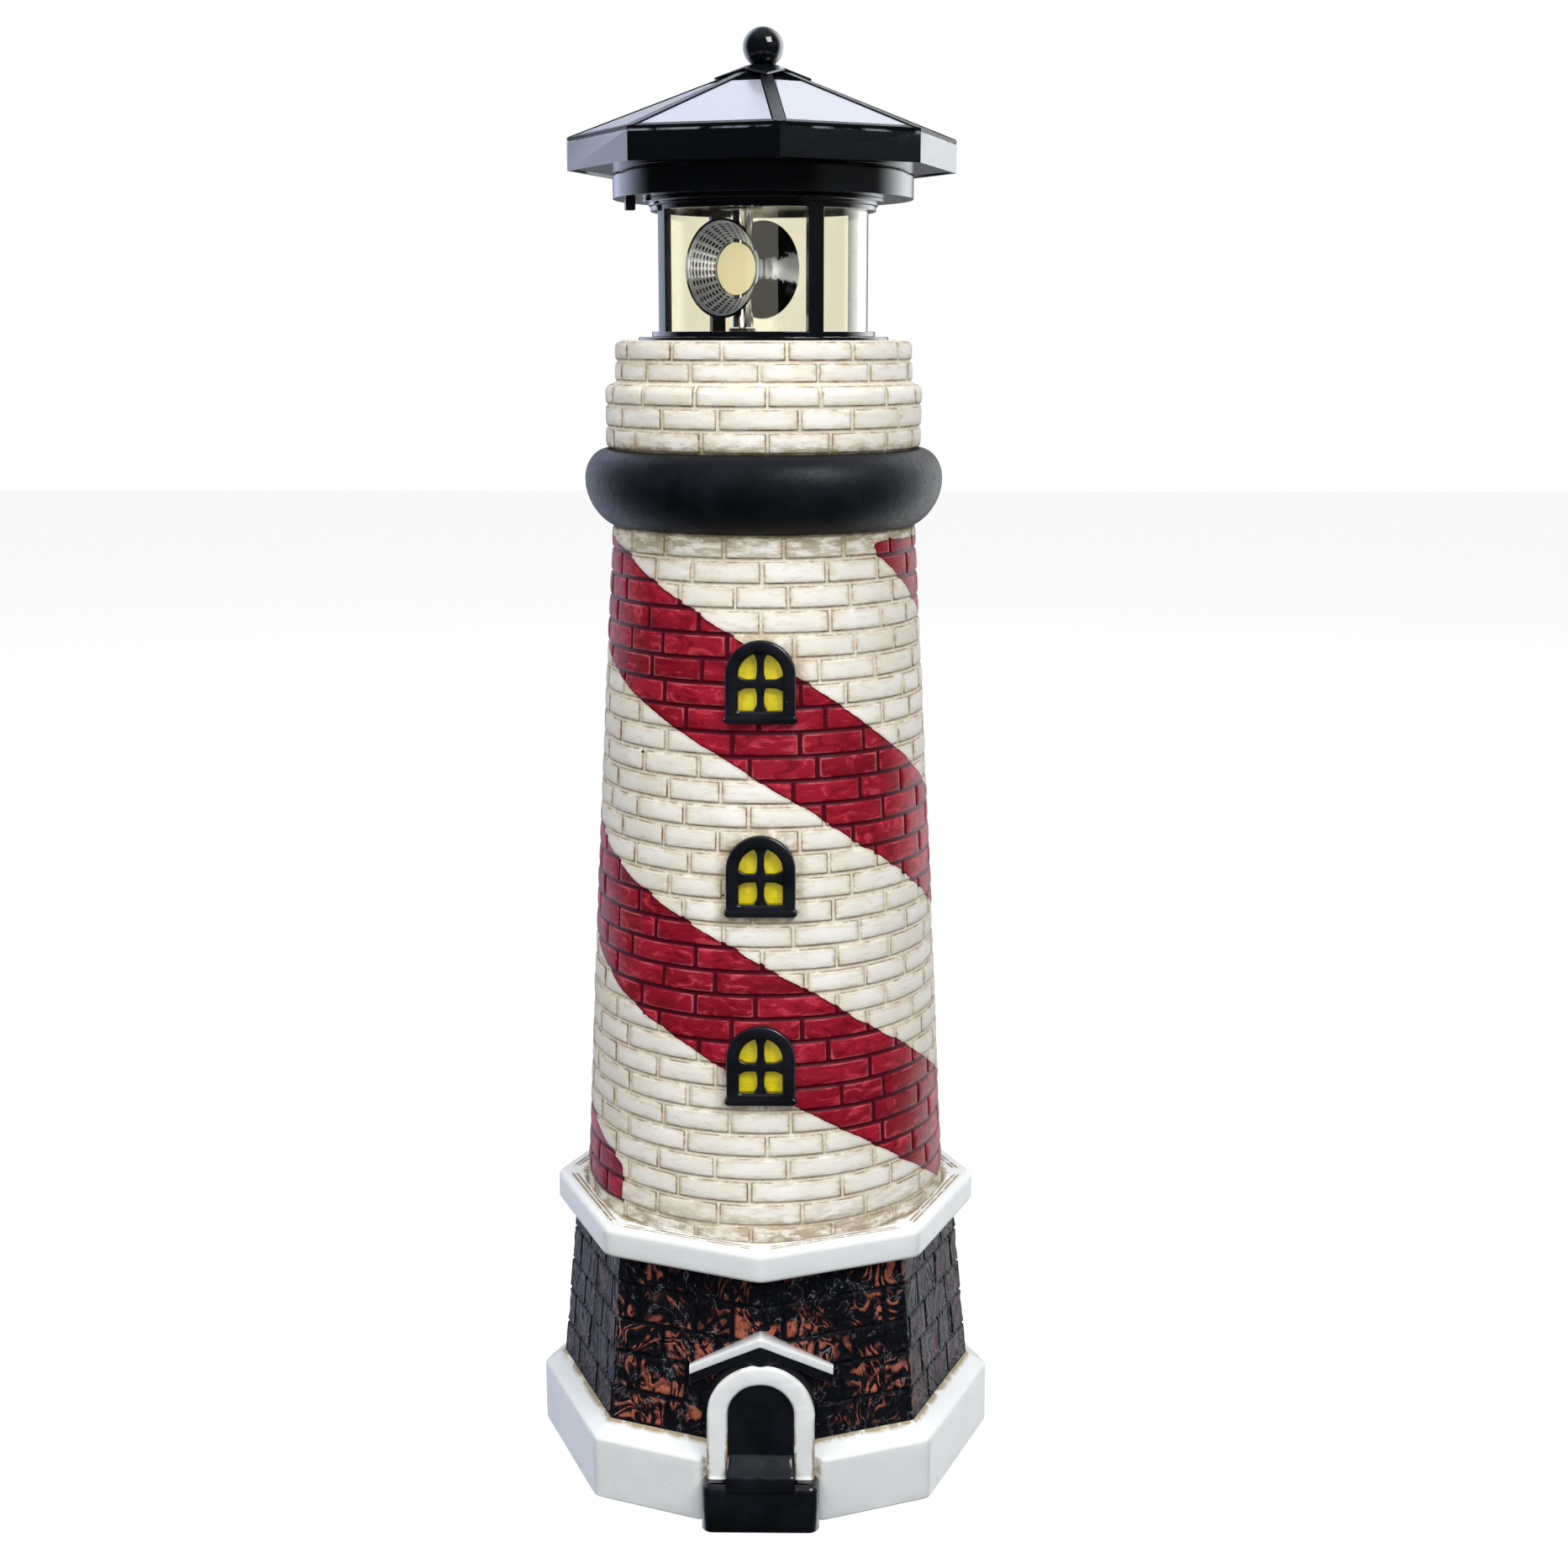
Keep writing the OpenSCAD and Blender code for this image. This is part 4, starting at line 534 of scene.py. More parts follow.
relief = (rock - 0.25) * smooth(joint, 0.3, 1.6) - 0.6 * (1 - smooth(joint, 0.1, 0.75))
relief = np.clip(relief, -1.2, 0.3) * smooth(np.minimum(rise, 1 - rise) * STONE_H, 0, 1.0)[:, None]
toward = (side_of + 0.5) * np.pi / 4
points = np.stack([x + relief * np.sin(toward), y - relief * np.cos(toward), z], -1)
across = np.arctan2(x, -y)
bore = [(49.4, STONE_TOP), (49.4, 74.4), (46.0, 74.4), (46.0, 17.7), (49.9, 17.7), (49.9, PLINTH_TOP)]
LEAF_HALF, LEAF_TOP, LEAF_BACK = 9.6, 42, -58.9
behind = (np.abs(points[..., 0]) < LEAF_HALF) & (points[..., 2] < LEAF_TOP) & (points[..., 1] < LEAF_BACK)
points[..., 1] = np.where(behind, LEAF_BACK, points[..., 1])
table = hollow(points, across[-1], bore[:3])
table = np.concatenate([table, hollow(points[:0], across[0], bore[3:])])
# Painted sheen: 1 on the faces that turn to the sides, 0 in front and behind.
side_sheen = smooth(np.abs(np.degrees(across)), 30, 58) * (1 - smooth(np.abs(np.degrees(across)), 125, 150))
marks = {"joint": (joint, 5.0), "shade": (block, 0.5), "side": (side_sheen, 0.0)}
stones = surface("stone_blocks", table, close_rows=True, close_cols=True, flip=True,
                 values={k: fill_in(v, len(bore), fill) for k, (v, fill) in marks.items()})
place(stones, "tower", "dark_stone", "stone_base")

# %% [markdown]
# The gallery ring under the parapet is turned: one outline spun round the
# axis. A shape like that needs only its outline, a list of radii and heights.
# %% Gallery ring
def turned(name, outline, count):
    """Spins (radius, height) points round the upright axis; the outline runs up the outside first."""
    p = np.array(outline, float)
    angle = np.arange(count) * 2 * np.pi / count
    points = ring_points(angle + 0 * p[:, :1], p[:, :1] + 0 * angle, p[:, 1:2] + 0 * angle)
    return surface(name, points, close_rows=True, close_cols=True, flip=True)


t = np.linspace(0, np.pi / 2, 22)
belly = TOWER_TOP + 0.6 * RING_H
neck = PARAPET_R - 0.6
fall_r, fall_z = TOWER_HEAD + (RING_R - TOWER_HEAD) * np.sin(t) ** 1.5, belly - (belly - TOWER_TOP) * np.cos(t)
rise_r, rise_z = neck + (RING_R - neck) * np.cos(t), belly + (RING_TOP - belly) * np.sin(t)
fall, shoulder = np.stack([fall_r, fall_z], 1), np.stack([rise_r, rise_z], 1)
bore = [(39.6, RING_TOP), (39.5, RING_TOP - 0.1), (39.5, 285.4), (36.7, 285.4), (36.7, 273.1), (39.5, 273.1),
        (39.5, TOWER_TOP), (41.5, TOWER_TOP)]
gallery = turned("gallery_ring_cast", [*fall, *shoulder[1:], *bore], 160)
place(gallery, "tower", "black_resin", "gallery_ring")

# %% [markdown]
# A window is a black frame in the wall's pocket, with four yellow lights. The
# border is a set of nested arches: a point's inset says how far it lies inside
# the outline, and every inset of an arch is an arch again. The bars swell
# where they meet the border, which rounds the corners of the lights as the
# thick paint does on the real one.
# %% Nested arches
def arch_path(steps_leg, steps_top, closed):
    """Places on an arch as (leg or top, how far along); each is turned into x and y for any inset."""
    up = [("up", t) for t in np.linspace(0, 1, steps_leg, endpoint=False)]
    top = [("top", t) for t in np.linspace(0, 1, steps_top, endpoint=False)]
    down = [("down", t) for t in np.linspace(0, 1, steps_leg)]
    foot = [("foot", t) for t in np.linspace(0, 1, 9)[1:-1]] if closed else []
    return up + top + down + foot


def nested_arch(path, inset, w, h, closed):
    """x and y on the arch that lies the given inset inside one of width w and height h."""
    half, spring = w / 2 - inset, h - w / 2
    base = inset if closed else 0 * inset
    x, y = [], []
    for where, t in path:
        turn = np.pi * (1 - t)
        across = {"up": -half, "top": half * np.cos(turn), "down": half, "foot": half * (1 - 2 * t)}
        above = {"up": base + (spring - base) * t, "top": spring + half * np.sin(turn),
                 "down": spring + (base - spring) * t, "foot": base}
        x.append(across[where] + 0 * half)
        y.append(above[where] + 0 * half)
    return np.array(x), np.array(y)


def edge_profile(width, low, high, r, steps=5):
    """Inset and height across a flat band with both edges rounded by r; low to high and back to low."""
    a = np.linspace(0, np.pi / 2, steps)
    rise = np.stack([r - r * np.cos(a), high - r + r * np.sin(a)], 1)
    fall = np.stack([width - r + r * np.sin(a), high - r + r * np.cos(a)], 1)
    return np.concatenate([[(0, low)], rise, [(width / 2, high + 0.08)], fall, [(width, low)]])


TAPER = np.arctan2(TOWER_FOOT - TOWER_HEAD, TOWER_TOP - TOWER_Z)


def on_wall(x, y, out, low):
    """Turns window coordinates into the frame's: x to the right, y up the leaning wall, out from it."""
    middle = low + WINDOW_H / 2
    t = (middle - TOWER_Z) / (TOWER_TOP - TOWER_Z)
    lean = TAPER - np.arctan(1.6 * (1 - 2 * t) / (TOWER_TOP - TOWER_Z))
    y = y - WINDOW_H / 2
    back = -tower_radius(middle) + y * np.sin(lean) - out * np.cos(lean)
    return np.stack([x + 0 * y, back, middle + y * np.cos(lean) + out * np.sin(lean)], -1)


def bar(length, half_width, low, high, r, steps=24):
    """A bar along s from 0 to its length: the half width may change with s, and r rounds both top edges."""
    s = np.linspace(0, length, steps)[:, None]
    a = np.linspace(0, np.pi / 2, 5)
    side = np.concatenate([[-1], -1 + 0 * a, [0], 1 + 0 * a, [1]])
    inner, crown = r - r * np.cos(a), high - r + r * np.sin(a)
    inset = np.concatenate([[0], inner, [0], inner[::-1], [0]])
    top = np.concatenate([[low], crown, [high + 0.05], crown[::-1], [low]])
    across = side * (half_width(s) - inset)
    return s + 0 * across, across, top + 0 * across


print("taper of the wall in degrees:", round(float(np.degrees(TAPER)), 2))

# %% [markdown]
# The three windows are alike, so one function builds a frame from its border,
# its sill and its two bars, and the panes are one soft pillow behind them.
# %% Windows
def join(name, parts):
    """One object from several; the parts are given up."""
    verts, loops, starts, base, loop_base = [], [], [], 0, 0
    for part in parts:
        m = part.data
        co = np.empty(len(m.vertices) * 3, np.float32)
        m.vertices.foreach_get("co", co)
        vi = np.empty(len(m.loops), np.int32)
        m.loops.foreach_get("vertex_index", vi)
        st = np.empty(len(m.polygons), np.int32)
        m.polygons.foreach_get("loop_start", st)
        verts.append(co)
        loops.append(vi + base)
        starts.append(st + loop_base)
        base += len(m.vertices)
        loop_base += len(m.loops)
        bpy.data.objects.remove(part)
        bpy.data.meshes.remove(m)
    mesh = bpy.data.meshes.new(name)
    co, vi, st = (np.concatenate(v) for v in (verts, loops, starts))
    mesh.vertices.add(len(co) // 3)
    mesh.vertices.foreach_set("co", co)
    mesh.loops.add(len(vi))
    mesh.loops.foreach_set("vertex_index", vi)
    mesh.polygons.add(len(st))
    mesh.polygons.foreach_set("loop_start", st)
    mesh.polygons.foreach_set("use_smooth", np.ones(len(st), bool))
    mesh.update(calc_edges=True)
    mesh.validate()
    obj = bpy.data.objects.new(name, mesh)
    bpy.context.scene.collection.objects.link(obj)
    return obj


def swell(s, at, half, more):
    """A bell of the given height at one place along a bar."""
    return more * np.exp(-(((s - at) / half) ** 2))


BORDER, BAR_FOOT, SILL_L, BAR_IN = 3.2, -1.7, 19.3, 0.8


def window(name, low):
    """Border, sill, mullion and transom of one window, joined."""
    path = arch_path(9, 26, True)
    inset, out = edge_profile(BORDER + 0.25, BAR_FOOT, 1.5, 0.8).T
    x, y = nested_arch(path, inset, WINDOW_W, WINDOW_H, True)
    border = surface("border", on_wall(x, y, out + 0 * x, low), close_rows=True, close_cols=True, flip=True)
    light_h, light_w = WINDOW_H - 2 * BORDER, WINDOW_W - 2 * BORDER
    cross = 0.47 * light_h

    def ends(s, length):
        return swell(s, BAR_IN, 1.3, 0.9) + swell(s, BAR_IN + length, 1.3, 0.9)

    def upright(s):
        return 0.95 + ends(s, light_h) + swell(s, BAR_IN + cross, 1.7, 0.7)

    def level(s):
        return 1.15 + ends(s, light_w)

    def ledge(s):
        return 1.2 - swell(s, 0, 0.6, 0.6) - swell(s, SILL_L, 0.6, 0.6)

    s, across, out = bar(light_h + 2 * BAR_IN, upright, BAR_FOOT, 0.75, 0.5, 40)
    place_up = on_wall(across, s + BORDER - BAR_IN, out, low)
    mullion = surface("mullion", place_up, close_cols=True, caps=True, flip=False)
    s, across, out = bar(light_w + 2 * BAR_IN, level, BAR_FOOT, 0.8, 0.5, 32)
    place_level = on_wall(s - light_w / 2 - BAR_IN, across + BORDER + cross, out, low)
    transom = surface("transom", place_level, close_cols=True, caps=True, flip=True)
    s, across, out = bar(SILL_L, ledge, BAR_FOOT, 1.6, 0.6, 40)
    sill = surface("sill", on_wall(s - SILL_L / 2, across + 1.2, out, low), close_cols=True, caps=True, flip=True)
    return join(name, [border, mullion, transom, sill])


frames = []
for name, low in zip(("low", "mid", "top"), WINDOW_ZS):
    frames.append(place(window("window_cast_" + name, low), "tower", "black_resin", "window_frame_" + name))

# %% [markdown]
# Behind the bars each window has one yellow pane. It is a thin arch whose
# front is pillowed by 0.4 mm, so it catches light as a blob of enamel does.
# %% Panes
def pane(name, low):
    """Nested arches from the edge to the middle; the height rises as the edge recedes."""
    path = arch_path(9, 26, True)
    inset = np.array([0.0, 0.0, 0.3, 1.5, 3.0, 4.5, 6.0, 7.6, 8.8, 9.0])
    out = np.array([-2.6, -1.35, -1.3, -1.3, -1.25, -1.1, -1.0, -0.95, -0.93, -0.93])
    x, y = nested_arch(path, inset, WINDOW_W - 0.6, WINDOW_H - 0.6, True)
    points = on_wall(x, y + 0.3, out + 0 * x, low).transpose(1, 0, 2)
    return surface(name, points, close_cols=True, caps=True, flip=False)


panes = []
for name, low in zip(("low", "mid", "top"), WINDOW_ZS):
    panes.append(place(pane("window_light_" + name, low), "tower", "yellow_pane", "window_pane_" + name))

# %% [markdown]
# The door's surround is the same nested arch at a larger size. It stands on
# the lower step, and its legs reach back to the stone, which slopes away on
# both sides of the corner. So the back of each row follows the stone's face.
# One value marks the top of its outer side, under the porch, which is drawn black.
# %% Door surround
def stone_front(x, z):
    """y of the stone's face near the door: the corner's radius less the fall of the faces to the side."""
    corner = STONE_FOOT - (STONE_FOOT - STONE_TOP_R) * (z - PLINTH_TOP) / (STONE_TOP - PLINTH_TOP)
    return -(corner - np.abs(x) * np.tan(np.pi / 8))


def round_band(width, r, front, steps=6):
    """Inset across a band and how far forward it stands: back, round edge, front, round edge, back."""
    a = np.linspace(0, np.pi / 2, steps)
    inset = np.concatenate([[0, 0, 0], r - r * np.cos(a), [width * 0.35, width * 0.65], width - r + r * np.sin(a), [width, width]])
    ahead = np.concatenate([[-1, -0.4, front - r - 0.3], front - r + r * np.sin(a), [front + 0.1, front + 0.1],
                            front - r + r * np.cos(a), [-0.4, -1]])
    return inset, ahead


path = arch_path(14, 44, False)
inset, ahead = round_band(5.6, 1.0, 61.3)
x, y = nested_arch(path, inset, 29.4, 33.1, False)
z = y + 13.5
back = np.where(z < PLINTH_TOP, -58.6, stone_front(x, z) + 0.6)
jut = -ahead + 0.15 * wobble(x * 0.35, z * 0.35, 61)
points = np.stack([x * (1 + 0.008 * wobble(z * 0.4, x * 0.2, 62)), np.where(ahead > 0, jut, np.where(ahead < -0.9, back, (back - 60.2) / 2)), z], -1)
edge = smooth(np.abs(inset / 5.6 - 0.5), 0.30, 0.5) * (0.35 + 0.65 * smooth(-y, -16, -4))
black_top = (inset < 0.01) * (ahead < 60.1) * smooth(y, 15, 19)
surround = surface("door_arch", points, close_cols=True, caps=True, flip=True,
                   values={"wash": np.clip(edge, 0, 1), "black_top": black_top + 0 * x})
place(surround, "tower", "white_resin", "door_surround")

# %% [markdown]
# The two steps are black and glossy with well rounded edges. The lower one is
# a stack of rounded rectangles, each a little smaller near the top. The upper
# one is a tongue of thick paint and resin: one side outline carried across.
# %% Steps
def rounded_block(name, half_x, y0, y1, rows, corner, keep_back=True, steps=8):
    """Rows of (inset, height): each row is the rectangle half_x by y0..y1 less the inset, with round corners."""
    a = np.linspace(0, np.pi / 2, steps)
    inset, height = np.array(rows, float).T
    inset, height = inset[:, None], height[:, None]
    front, back = y0 + inset, y1 - (0 if keep_back else 1) * inset
    half = half_x - inset
    c = np.maximum(corner - inset, 0.05)
    x = np.concatenate([-half + 0 * a, -half + c - c * np.cos(a), half - c + c * np.sin(a), half + 0 * a], 1)
    y = np.concatenate([back + (front + c - back) * np.linspace(0, 0.95, steps), front + c - c * np.sin(a),
                        front + c - c * np.cos(a), front + c + (back - front - c) * np.linspace(0.05, 1, steps)], 1)
    points = np.stack([x, y, height + 0 * x], -1)
    return surface(name, points, close_cols=True, caps=True, flip=True)


def edge_rows(z0, z1, r, steps=7, foot=0.3):
    """A small round at the foot, an upright wall, and a round of radius r into the top."""
    a = np.linspace(0, np.pi / 2, steps)
    return [(foot, z0), (0, z0 + foot), (0, (z0 + z1) / 2)] + [(r - r * np.cos(t), z1 - r + r * np.sin(t)) for t in a]


step = rounded_block("door_step_cast", 16.0, -65.8, -58.55, edge_rows(0, 13.5, 2.0), 3.0)
place(step, "tower", "black_resin", "door_step")


def threshold(name, half, steps=28):
    """The outline (y, z) of a tongue, carried from side to side: level, a slope, and a nose that laps the step."""
    nose = [(-64.36 - 1.6 * np.cos(t), 15.4 + 1.6 * np.sin(t)) for t in np.radians(np.linspace(50, 5, 7))]
    lip = [(-65.96, 14.2), (-65.97, 12.6), (-65.86, 11.6), (-65.5, 11.3), (-65.3, 12.4)]
    outline = np.array([(-58.55, 13.0), (-58.55, 20.5), (-60.2, 20.5), (-60.7, 20.3), (-61.6, 19.3), (-62.8, 18.1),
                        (-63.7, 17.3), *nose, *lip, (-64.0, 13.0)])
    s = np.linspace(-1, 1, steps)[:, None]
    flare = 1 + 0.05 * smooth(-outline[:, 0], 61, 65.5)
    ends = np.clip(np.abs(s) * 14 - 13, 0, 1) ** 2
    y = outline[:, 0] + ends * 0.5 * (-outline[:, 0] - 61.0) / 5.0
    z = outline[:, 1] - ends * 0.5 * smooth(outline[:, 1], 13.5, 17)
    y = y + 0.05 * wobble(s * 5 + 0 * y, outline[:, 1] + 0 * y, 63)
    return surface(name, np.stack([s * half * flare, y, z], -1), close_cols=True, caps=True, flip=False)


nose = threshold("door_threshold_cast", 9.0)
place(nose, "tower", "black_resin", "door_threshold")

# %% [markdown]
# The porch is a chevron of white resin with a black beam under it. It stands
# out most over the door and is almost flush with the stone at its ends. One
# cross-section is carried from end to end, up one side and down the other.
# The beam's middle reaches down to the arch, which it rests on.
# %% Porch
PORCH_HALF, PORCH_DROP, PORCH_LEAD, PORCH_RIDGE = 19.8, 13.2, 10.4, 55.2
STRETCH = np.hypot(1, PORCH_DROP / PORCH_HALF)


def chevron(name, ridge, thick, reach, r, filler=False, steps=80):
    """Section (depth, height) along x: the front falls back from reach in the middle, the back is at the stone."""
    x = np.linspace(-PORCH_HALF, PORCH_HALF, steps)[:, None]
    a = np.linspace(0, np.pi / 2, 6)
    u = np.concatenate([[0], 1 - 0 * a, 1 - 0 * a, [0]])
    share = np.concatenate([[0, *(0 * a)], 1 + 0 * a, [1]])
    round_off = np.concatenate([[0], r - r * np.cos(a), r * np.sin(a) - r, [0]])
    back_off = np.concatenate([[0], r - r * np.sin(a), r - r * np.cos(a), [0]])
    bend = np.sqrt(x**2 + 0.25)
    top = ridge - PORCH_DROP * bend / PORCH_HALF
    low = top - thick
    if filler:
        low = np.where(np.abs(x) < 8.2, np.minimum(low, 31.9 + np.sqrt(np.maximum(14.7**2 - x**2, 0)) - 0.2), low)
    z = top + (low - top) * share - round_off + 0.08 * wobble(x * 0.4, x * 0 + share, 71)
    front = -(reach - PORCH_LEAD * bend / PORCH_HALF) + back_off
    y = np.where(u > 0.5, front, np.maximum(stone_front(x, z) + 0.6, front))
    points = np.stack([x + 0 * z, y, z], -1)
    return surface(name, points, close_cols=True, caps=True, flip=False)


roof = chevron("porch_chevron", PORCH_RIDGE, 2.2 * STRETCH, 62.0, 0.6)
place(roof, "tower", "white_resin", "porch_roof")
beam = chevron("porch_beam_cast", PORCH_RIDGE - 2.2 * STRETCH, 2.6 * STRETCH, 61.4, 0.5, filler=True)
place(beam, "tower", "black_resin", "porch_beam")

# %% [markdown]
# The wall's paint is one material for both colours. The ivory bricks carry a
# thin tan wash, which runs off the bricks and stays where mortar meets brick,
# so it draws a line on each side of a joint. Along the lower and right edge of
# each brick that line is drawn whole and darker: painted shadow. The crimson
# bricks are the same casting under a darker coat, and a dry brush has caught
# their edges in pink. The band value switches between the two exactly on the
# painter's line.
# %% Wall paint
def wall_paint():
    """Tan lines are a bell curve of the joint distance; the red starts where the band value passes 0."""
    p = Paint("hand_painted_brick", rough=0.55, spec=0.1)
    joint, shade, halo, band, under = (p.value(k) for k in ("joint", "shade", "halo", "band", "under"))
    cloud = p.noise(16, 4, 0.6)
    grain = p.noise(1.6, 5, 0.7)
    streak = p.noise(5, 5, 0.65, stretch=(1, 1, 4))
    ivory = p.mix(p.ramp(cloud, 0.35, 0.7), (0.90, 0.88, 0.825), (0.82, 0.79, 0.71))
    ivory = p.mix(p.ramp(shade, 0.55, 1.0, 0, 0.42), ivory, (0.74, 0.69, 0.58))
    rub = p.math("MULTIPLY", p.ramp(joint, 2.3, 0.5), p.ramp(streak, 0.36, 0.62, 0.1, 0.9))
    ivory = p.mix(rub, ivory, (0.62, 0.55, 0.42))
    ivory = p.mix(p.ramp(streak, 0.54, 0.72, 0, 0.5), ivory, (0.60, 0.52, 0.38))
    mortar = p.mix(p.ramp(grain, 0.35, 0.7), (0.84, 0.80, 0.69), (0.66, 0.58, 0.43))
    ivory = p.mix(p.ramp(joint, 0.32, 0.55), mortar, ivory)
    line = p.math("MULTIPLY", p.ramp(joint, 0.26, 0.46), p.ramp(joint, 0.86, 0.56))
    # Painted shadow: along the lower and right edge of each brick the joint line is whole and darker.
    break_up = p.math("MAXIMUM", p.ramp(p.noise(6, 4, 0.7), 0.40, 0.60, 0.12, 1.0), p.math("MULTIPLY", under, 0.55))
    line = p.math("MULTIPLY", line, p.math("MULTIPLY", break_up, p.ramp(under, 0, 1, 0.75, 1.0)))
    ivory = p.mix(line, ivory, (0.17, 0.10, 0.038))
    near = p.ramp(p.math("ADD", halo, p.math("MULTIPLY", grain, 2.4)), 5.4, 1.2)
    ivory = p.mix(p.math("MULTIPLY", near, p.ramp(p.noise(4, 5, 0.7), 0.3, 0.62, 0, 0.8)), ivory, (0.38, 0.29, 0.16))
    height = p.xyz("Z")
    edge_stain = p.math("MULTIPLY", p.ramp(height, 0.259, 0.2685), p.ramp(height, 0.275, 0.27))
    edge_stain = p.math("MAXIMUM", edge_stain, p.ramp(height, 0.092, 0.077))
    edge_stain = p.math("MAXIMUM", edge_stain, p.math("MULTIPLY", p.ramp(height, 0.2945, 0.2895), p.ramp(height, 0.28, 0.2895)))
    stain = p.math("MULTIPLY", edge_stain, p.ramp(p.noise(6, 5, 0.7, stretch=(1, 1, 3.4)), 0.38, 0.60, 0, 0.88))
    ivory = p.mix(stain, ivory, (0.30, 0.235, 0.125))
    specks = p.node("ShaderNodeTexVoronoi", 0, Vector=p.coord, Scale=1000 / 15)
    ivory = p.mix(p.ramp(specks, 0.032, 0.022), ivory, (0.03, 0.02, 0.012))
    brush = p.node("ShaderNodeMapping", Vector=p.coord, Rotation=(0, 0.6, 0), Scale=(1, 1, 2.4))
    drag = p.noise(7, 5, 0.62, 1.2, coord=brush)
    red = p.mix(p.ramp(cloud, 0.3, 0.7), (0.27, 0.009, 0.022), (0.36, 0.013, 0.032))
    red = p.mix(p.ramp(shade, 0.4, 1.0, 0, 0.75), red, (0.19, 0.006, 0.015))
    red = p.mix(p.ramp(drag, 0.49, 0.35, 0, 0.8), red, (0.15, 0.004, 0.012))
    red = p.mix(p.ramp(drag, 0.53, 0.66, 0, 0.7), red, (0.60, 0.055, 0.085))
    rim = p.math("MULTIPLY", p.ramp(joint, 0.55, 0.75), p.ramp(joint, 1.15, 0.85))
    rim = p.math("MULTIPLY", rim, p.ramp(p.noise(8, 4, 0.6), 0.44, 0.64))
    red = p.mix(p.math("MULTIPLY", rim, 0.5), red, (0.62, 0.17, 0.19))
    red = p.mix(p.ramp(joint, 0.78, 0.42), red, (0.07, 0.004, 0.011))
    line = p.math("ADD", band, p.math("MULTIPLY", p.math("SUBTRACT", grain, 0.5), 0.9))
    line = p.math("ADD", line, p.ramp(joint, 0.9, 0.3, 0, 0.35))
    inside = p.ramp(line, -0.12, 0.12)
    color = p.mix(inside, ivory, red)
    lip = p.math("MULTIPLY", p.ramp(line, -0.9, -0.45), p.ramp(line, 0.0, -0.25))
    color = p.mix(p.math("MULTIPLY", lip, 0.3), color, (0.50, 0.36, 0.30))
    edge = p.math("MULTIPLY", p.ramp(line, -0.12, 0.1), p.ramp(line, 0.85, 0.3))
    color = p.mix(p.math("MULTIPLY", edge, 0.75), color, (0.08, 0.004, 0.01))
    bump = p.bump(p.math("ADD", grain, p.math("MULTIPLY", streak, 0.6)), 0.10)
    return p.finish(color, p.math("ADD", p.ramp(inside, 0, 1, 0.5, 0.34), p.math("MULTIPLY", grain, 0.12)), bump)


brick = wall_paint()
wear(tower, brick)
wear(parapet, brick)
print("wall paint on", tower.name, parapet.name)

# %% [markdown]
# The plain white castings are satin and slightly blue. Tiny dark specks are
# bubbles in the resin that filled with dirt, and the wash stays in corners.
# %% White castings
def white_paint():
    """White, then tan where the wash value is high, then round specks from a cell pattern."""
    p = Paint("white_cast_resin", rough=0.42, spec=0.25, coat=0.05)
    wash = p.value("wash")
    cloud, grain = p.noise(22, 4, 0.55), p.noise(1.8, 5, 0.7)
    color = p.mix(p.ramp(cloud, 0.3, 0.75), (0.82, 0.85, 0.86), (0.77, 0.80, 0.80))
    tan = p.math("MULTIPLY", wash, p.ramp(p.noise(5, 6, 0.75), 0.30, 0.60))
    color = p.mix(p.ramp(tan, 0.03, 0.6, 0, 0.9), color, (0.34, 0.25, 0.13))
    for size, radius, stretch, seed in ((11, 0.045, (1, 1, 0.55), 0.0), (7, 0.035, (1, 1, 1), 3.7)):
        where = p.node("ShaderNodeMapping", Vector=p.coord, Location=(seed, seed, seed), Scale=stretch)
        cell = p.tree.nodes.new("ShaderNodeTexVoronoi")
        p.put(cell, "Vector", where)
        p.put(cell, "Scale", 1000 / size)
        pick = p.math("GREATER_THAN", p.node("ShaderNodeSeparateColor", 0, Color=cell.outputs["Color"]), 0.62)
        dot = p.math("MULTIPLY", p.ramp(cell.outputs["Distance"], radius * 1.15, radius * 0.8), pick)
        color = p.mix(p.math("MULTIPLY", dot, 0.9), color, (0.025, 0.028, 0.03))
    # Black on the top of the arch's outer side, under the porch.
    color = p.mix(p.ramp(p.math("ADD", p.value("black_top"), p.math("MULTIPLY", grain, 0.3)), 0.4, 0.6), color, (0.009, 0.010, 0.013))
    bump = p.bump(p.math("ADD", p.math("MULTIPLY", cloud, 1.6), p.math("MULTIPLY", grain, 0.35)), 0.22)
    return p.finish(color, p.math("ADD", p.math("MULTIPLY", tan, 0.3), p.ramp(grain, 0.2, 0.8, 0.3, 0.44)), bump)


white = white_paint()
for obj in (plinth, cornice, surround, roof):
    wear(obj, white)
if "wash" not in roof.data.attributes:
    roof.data.attributes.new("wash", "FLOAT", "POINT")
print("white paint ready")
